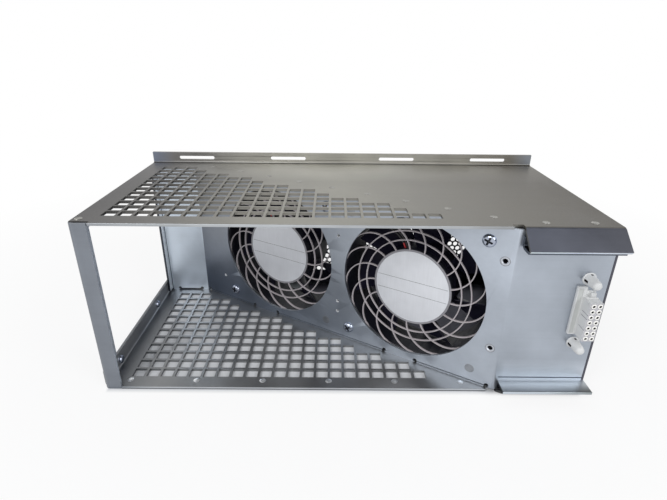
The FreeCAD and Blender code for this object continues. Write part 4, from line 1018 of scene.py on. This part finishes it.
def connector_body():
    """The housing, with sockets in its face and fine grooves on its side; its front face, grooves and
    sockets carry painted shade.
    """
    half, tall, front = CONNECTOR_HALF, CONNECTOR_TALL, -CONNECTOR_REACH
    body = bmesh.new()
    add_box(body, (-half + 0.2, front, -tall), (half - 0.8, CONNECTOR_BACK, tall))
    # Painted shade on the front face, between the raised rings
    for face in body.faces:
        at_front = face.calc_center_median().y < front + 0.1
        face.material_index = 1 if at_front else 0
    housing = finish_piece("connector_body", body, CONNECTOR_PLACE, [CONNECTOR, CONNECTOR_FACE_SHADE],
                           ["connector_housing"], 30)
    grooves = bmesh.new()
    for height in GROOVES:
        low = (-half - 1, front - 1, height - GROOVE_HALF)
        high = (-half + GROOVE_DEPTH, GROOVE_END, height + GROOVE_HALF)
        add_box(grooves, low, high)
    carve(housing, cutter_object(grooves, CONNECTOR_PLACE, CONNECTOR_GROOVE_SHADE))
    sockets = bmesh.new()
    profile = [(0, -1), (SOCKET_RADIUS, -1), (SOCKET_RADIUS, SOCKET_DEPTH), (0, SOCKET_DEPTH)]
    for x, z in contact_centres():
        hole = bmesh.new()
        lathe(hole, profile, SOCKET_STEPS)
        add_copy(sockets, hole, Matrix.Translation((x, front, z)) @ INWARD)
    carve(housing, cutter_object(sockets, CONNECTOR_PLACE, HOLE_SHADE))
    round_corners(housing, 0.35)


def connector_boxes(name, boxes):
    """A piece of the connector made of joined blocks."""
    mesh = bmesh.new()
    for low, high in boxes:
        add_box(mesh, low, high)
    return finish_piece(name, mesh, CONNECTOR_PLACE, [CONNECTOR], (), 30)


def connector_flange():
    """The flange on the panel, with a shallow tray in its face, and the latch above the housing."""
    flange = connector_boxes("connector_flange", FLANGE_BOXES)
    recess = bmesh.new()
    add_box(recess, *FLANGE_TRAY)
    carve(flange, cutter_object(recess, CONNECTOR_PLACE, CONNECTOR_SHADE))
    round_corners(flange, 0.3)
    latch = connector_boxes("connector_latch", LATCH_BOXES)
    round_corners(latch, 0.4)


def socket_rings():
    """A raised ring round each socket in a lighter copy of the plastic, a painted highlight, with a disc of
    painted shade inside it, on a face greyed with painted shade.
    """
    rings = bmesh.new()
    profile = [(SOCKET_RADIUS + out, height) for out, height in RING_OUTLINE]
    dark = [(0, SHADE_TOP), (SHADE_RADIUS, SHADE_TOP), (SHADE_RADIUS, SHADE_FOOT), (0, SHADE_FOOT)]
    for x, z in contact_centres():
        ring = bmesh.new()
        lathe(ring, profile, RING_STEPS)
        lathe(ring, dark, SOCKET_STEPS, index=1)
        add_copy(rings, ring, Matrix.Translation((x, -CONNECTOR_REACH + 0.02, z)) @ OUTWARD)
    finish_piece("contact_rings", rings, CONNECTOR_PLACE, [CONNECTOR_RING_LIT, HOLE_SHADE],
                 (), 50)


# Guide pegs: blunt cones on a round foot
GUIDE_SPACING, GUIDE_X, GUIDE_Z = 50.7, -2.3, 1.4
PEG_PROFILE = [(0, 0.0), (4.6, 0.0), (4.7, 0.5), (4.2, 0.9), (4.0, 1.3), (3.1, 10.4), (2.7, 11.5),
               (1.9, 12.1), (0, 12.3)]
PEG_STEPS = 40
# Two corners of each relief slot, from the middle of a peg's foot
PEG_SLOTS = (((-6.0, -5.2, -1.0), (-2.6, -1.3, 0.8)), ((-0.6, -2.8, 2.9), (1.0, -1.3, 6.0)))


def guide_pegs():
    """Two pegs, each with a relief slot at the left and one on top, whose faces carry painted shade."""
    mesh, slots = bmesh.new(), bmesh.new()
    for towards in (-0.5, 0.5):
        foot = (GUIDE_X, 0, GUIDE_Z + towards * GUIDE_SPACING)
        peg = bmesh.new()
        lathe(peg, PEG_PROFILE, PEG_STEPS)
        add_copy(mesh, peg, Matrix.Translation(foot) @ OUTWARD)
        for corners in PEG_SLOTS:
            low, high = ([a + b for a, b in zip(foot, corner)] for corner in corners)
            add_box(slots, low, high)
    pegs = finish_piece("guide_peg_pair", mesh, CONNECTOR_PLACE, [CONNECTOR],
                        ["guide_pegs"], 50)
    carve(pegs, cutter_object(slots, CONNECTOR_PLACE, HOLE_SHADE))


# Stage: pale floor, white surroundings, a grey card and soft lamps, in metres
PAPER_TONES = ((NOISE_LOW, (0.86, 0.86, 0.86)), (NOISE_HIGH, (0.9, 0.9, 0.9)))
CARD_TONES = ((NOISE_LOW, (0.10, 0.11, 0.13)), (NOISE_HIGH, (0.13, 0.14, 0.16)))
# The paper's colour under the tray: a painted shadow
SHADED_PAPER = (0.72, 0.73, 0.75)
GLOW_UNDER, GLOW_NEAR, GLOW_START, GLOW_END = 0.0, 0.82, 0.2, 0.6
UNDER_TRAY = both(lying("X", -177, -175), lying("X", 177, 175), lying("Y", -85, -80), lying("Y", 82, 80))
FLOOR_REACH, FLOOR_DROP = 30.0, 0.02 * MM
CARD_LOW, CARD_HIGH, CARD_Z = (-0.9, -0.7), (0.9, 0.5), 1.3
WHITE, SOFT_WHITE, SOFT_STRENGTH = (1, 1, 1, 1), (0.95, 0.97, 1.0, 1), 0.55
LAMP_TARGET, LAMP_SIZE = (0, 0, 0.06), 0.8


def seen_rays(tree):
    """One for what the camera and shiny or clear surfaces see, and nought for the light on the object."""
    rays = wire(tree, "ShaderNodeLightPath").outputs
    seen = combine(tree, "MAXIMUM", rays["Is Camera Ray"], rays["Is Glossy Ray"])
    return combine(tree, "MAXIMUM", seen, rays["Is Transmission Ray"])


def stage_sheet(name, low, high, z, material):
    """A flat rectangle that isn't part of the object."""
    data = bpy.data.meshes.new(name)
    corners = [(low[0], low[1], z), (high[0], low[1], z), (high[0], high[1], z), (low[0], high[1], z)]
    data.from_pydata(corners, [], [(0, 1, 2, 3)])
    data.materials.append(material)
    item = bpy.data.objects.new(name, data)
    bpy.context.scene.collection.objects.link(item)
    return item


def floor():
    """Paper that is white away from the object, and shaded under it by real shade and by a painted shadow
    in its colour.
    """
    material, tree, shader = new_material("floor_paper")
    under = UNDER_TRAY(tree)
    paper = tinted(tree, ramp(tree, noise(tree, 3, 3), PAPER_TONES), under, SHADED_PAPER)
    tree.links.new(paper, shader.inputs["Base Color"])
    shader.inputs["Roughness"].default_value = 0.9
    shader.inputs["Specular IOR Level"].default_value = 0.1
    white = wire(tree, "ShaderNodeEmission", {"Color": WHITE, "Strength": 1.0})
    inputs = {0: surface(tree, "Position")}
    away = wire(tree, "ShaderNodeVectorMath", inputs, operation="LENGTH").outputs["Value"]
    glow = map_range(tree, away, GLOW_START, GLOW_END, GLOW_NEAR, 1.0)
    glow = blend_values(tree, glow, GLOW_UNDER, under)
    share = combine(tree, "MULTIPLY", seen_rays(tree), glow)
    mixed = wire(tree, "ShaderNodeMixShader", {0: share, 1: shader.outputs[0], 2: white.outputs[0]})
    tree.links.new(mixed.outputs[0], tree.nodes["Material Output"].inputs["Surface"])
    reach = FLOOR_REACH
    item = stage_sheet("floor", (-reach, -reach), (reach, reach), 0, material)
    item.location.z = -FLOOR_DROP


def surroundings():
    """Even pale light for the object; what the camera and shiny surfaces see is white."""
    world = bpy.data.worlds.new("studio")
    world.use_nodes = True
    tree = world.node_tree
    tree.nodes.clear()
    soft = wire(tree, "ShaderNodeBackground", {"Color": SOFT_WHITE, "Strength": SOFT_STRENGTH})
    white = wire(tree, "ShaderNodeBackground", {"Color": WHITE, "Strength": 1.0})
    inputs = {0: seen_rays(tree), 1: soft.outputs[0], 2: white.outputs[0]}
    mixed = wire(tree, "ShaderNodeMixShader", inputs)
    output = wire(tree, "ShaderNodeOutputWorld", {"Surface": mixed.outputs[0]})
    output.is_active_output = True
    bpy.context.scene.world = world


def overhead_card():
    """A grey card above the object, out of the camera's sight, that gives the metal something to mirror."""
    material, tree, shader = new_material("grey_card")
    tree.links.new(ramp(tree, noise(tree, 4, 2), CARD_TONES), shader.inputs["Base Color"])
    shader.inputs["Roughness"].default_value = 0.9
    item = stage_sheet("overhead_card", CARD_LOW, CARD_HIGH, CARD_Z, material)
    item.visible_camera = False


def lamp(name, place, power):
    data = bpy.data.lights.new(name, "AREA")
    data.shape = "DISK"
    data.size = LAMP_SIZE
    data.energy = power
    item = bpy.data.objects.new(name, data)
    item.location = place
    item.rotation_euler = (Vector(LAMP_TARGET) - Vector(place)).to_track_quat("-Z", "Y").to_euler()
    bpy.context.scene.collection.objects.link(item)


# Camera, from the photograph's perspective
CAMERA_PLACE = (-9.259, -356.394, 239.646)
CAMERA_FORWARD = (0.003835, 0.911871, -0.410458)
CAMERA_RIGHT = (0.999958, -0.000098, 0.009126)
CAMERA_LENS, CAMERA_SENSOR = 25.21, 36.0


def camera():
    data = bpy.data.cameras.new("camera")
    data.lens = CAMERA_LENS
    data.sensor_width = CAMERA_SENSOR
    data.sensor_fit = "HORIZONTAL"
    data.clip_start = 0.01
    right, back = Vector(CAMERA_RIGHT), -Vector(CAMERA_FORWARD)
    up = back.cross(right)
    turned_to = Matrix((right, up, back)).transposed().to_4x4()
    item = bpy.data.objects.new("camera", data)
    item.matrix_world = Matrix.Translation(Vector(CAMERA_PLACE) * MM) @ turned_to
    bpy.context.scene.collection.objects.link(item)
    bpy.context.scene.camera = item


dress_solids()
for fan_side in FAN_STATIONS:
    fan_guard(fan_side)
    fan_label(fan_side)
    impeller(fan_side)
    leads(fan_side)
intake_screen()
pan_heads("fan_screw_heads", fan_corners(SCREW_CORNERS), FAN_SCREW_RADIUS, PLATE, "fan_screws",
          FAN_SCREW_ANGLES)
pan_heads("rail_screw_heads", RAIL_SCREWS, RAIL_SCREW_RADIUS, RAIL, "rail_screws", RAIL_SCREW_ANGLES)
clinch_nuts()
stud_marks()
hole_liners()
slit_strips()
rivets()
sill()
connector_body()
connector_flange()
socket_rings()
guide_pegs()

floor()
surroundings()
overhead_card()
lamp("key", (-0.7, -1.0, 1.0), 12)
lamp("fill", (0.9, -0.9, 0.8), 7)
camera()
bpy.context.scene.view_settings.view_transform = "Standard"
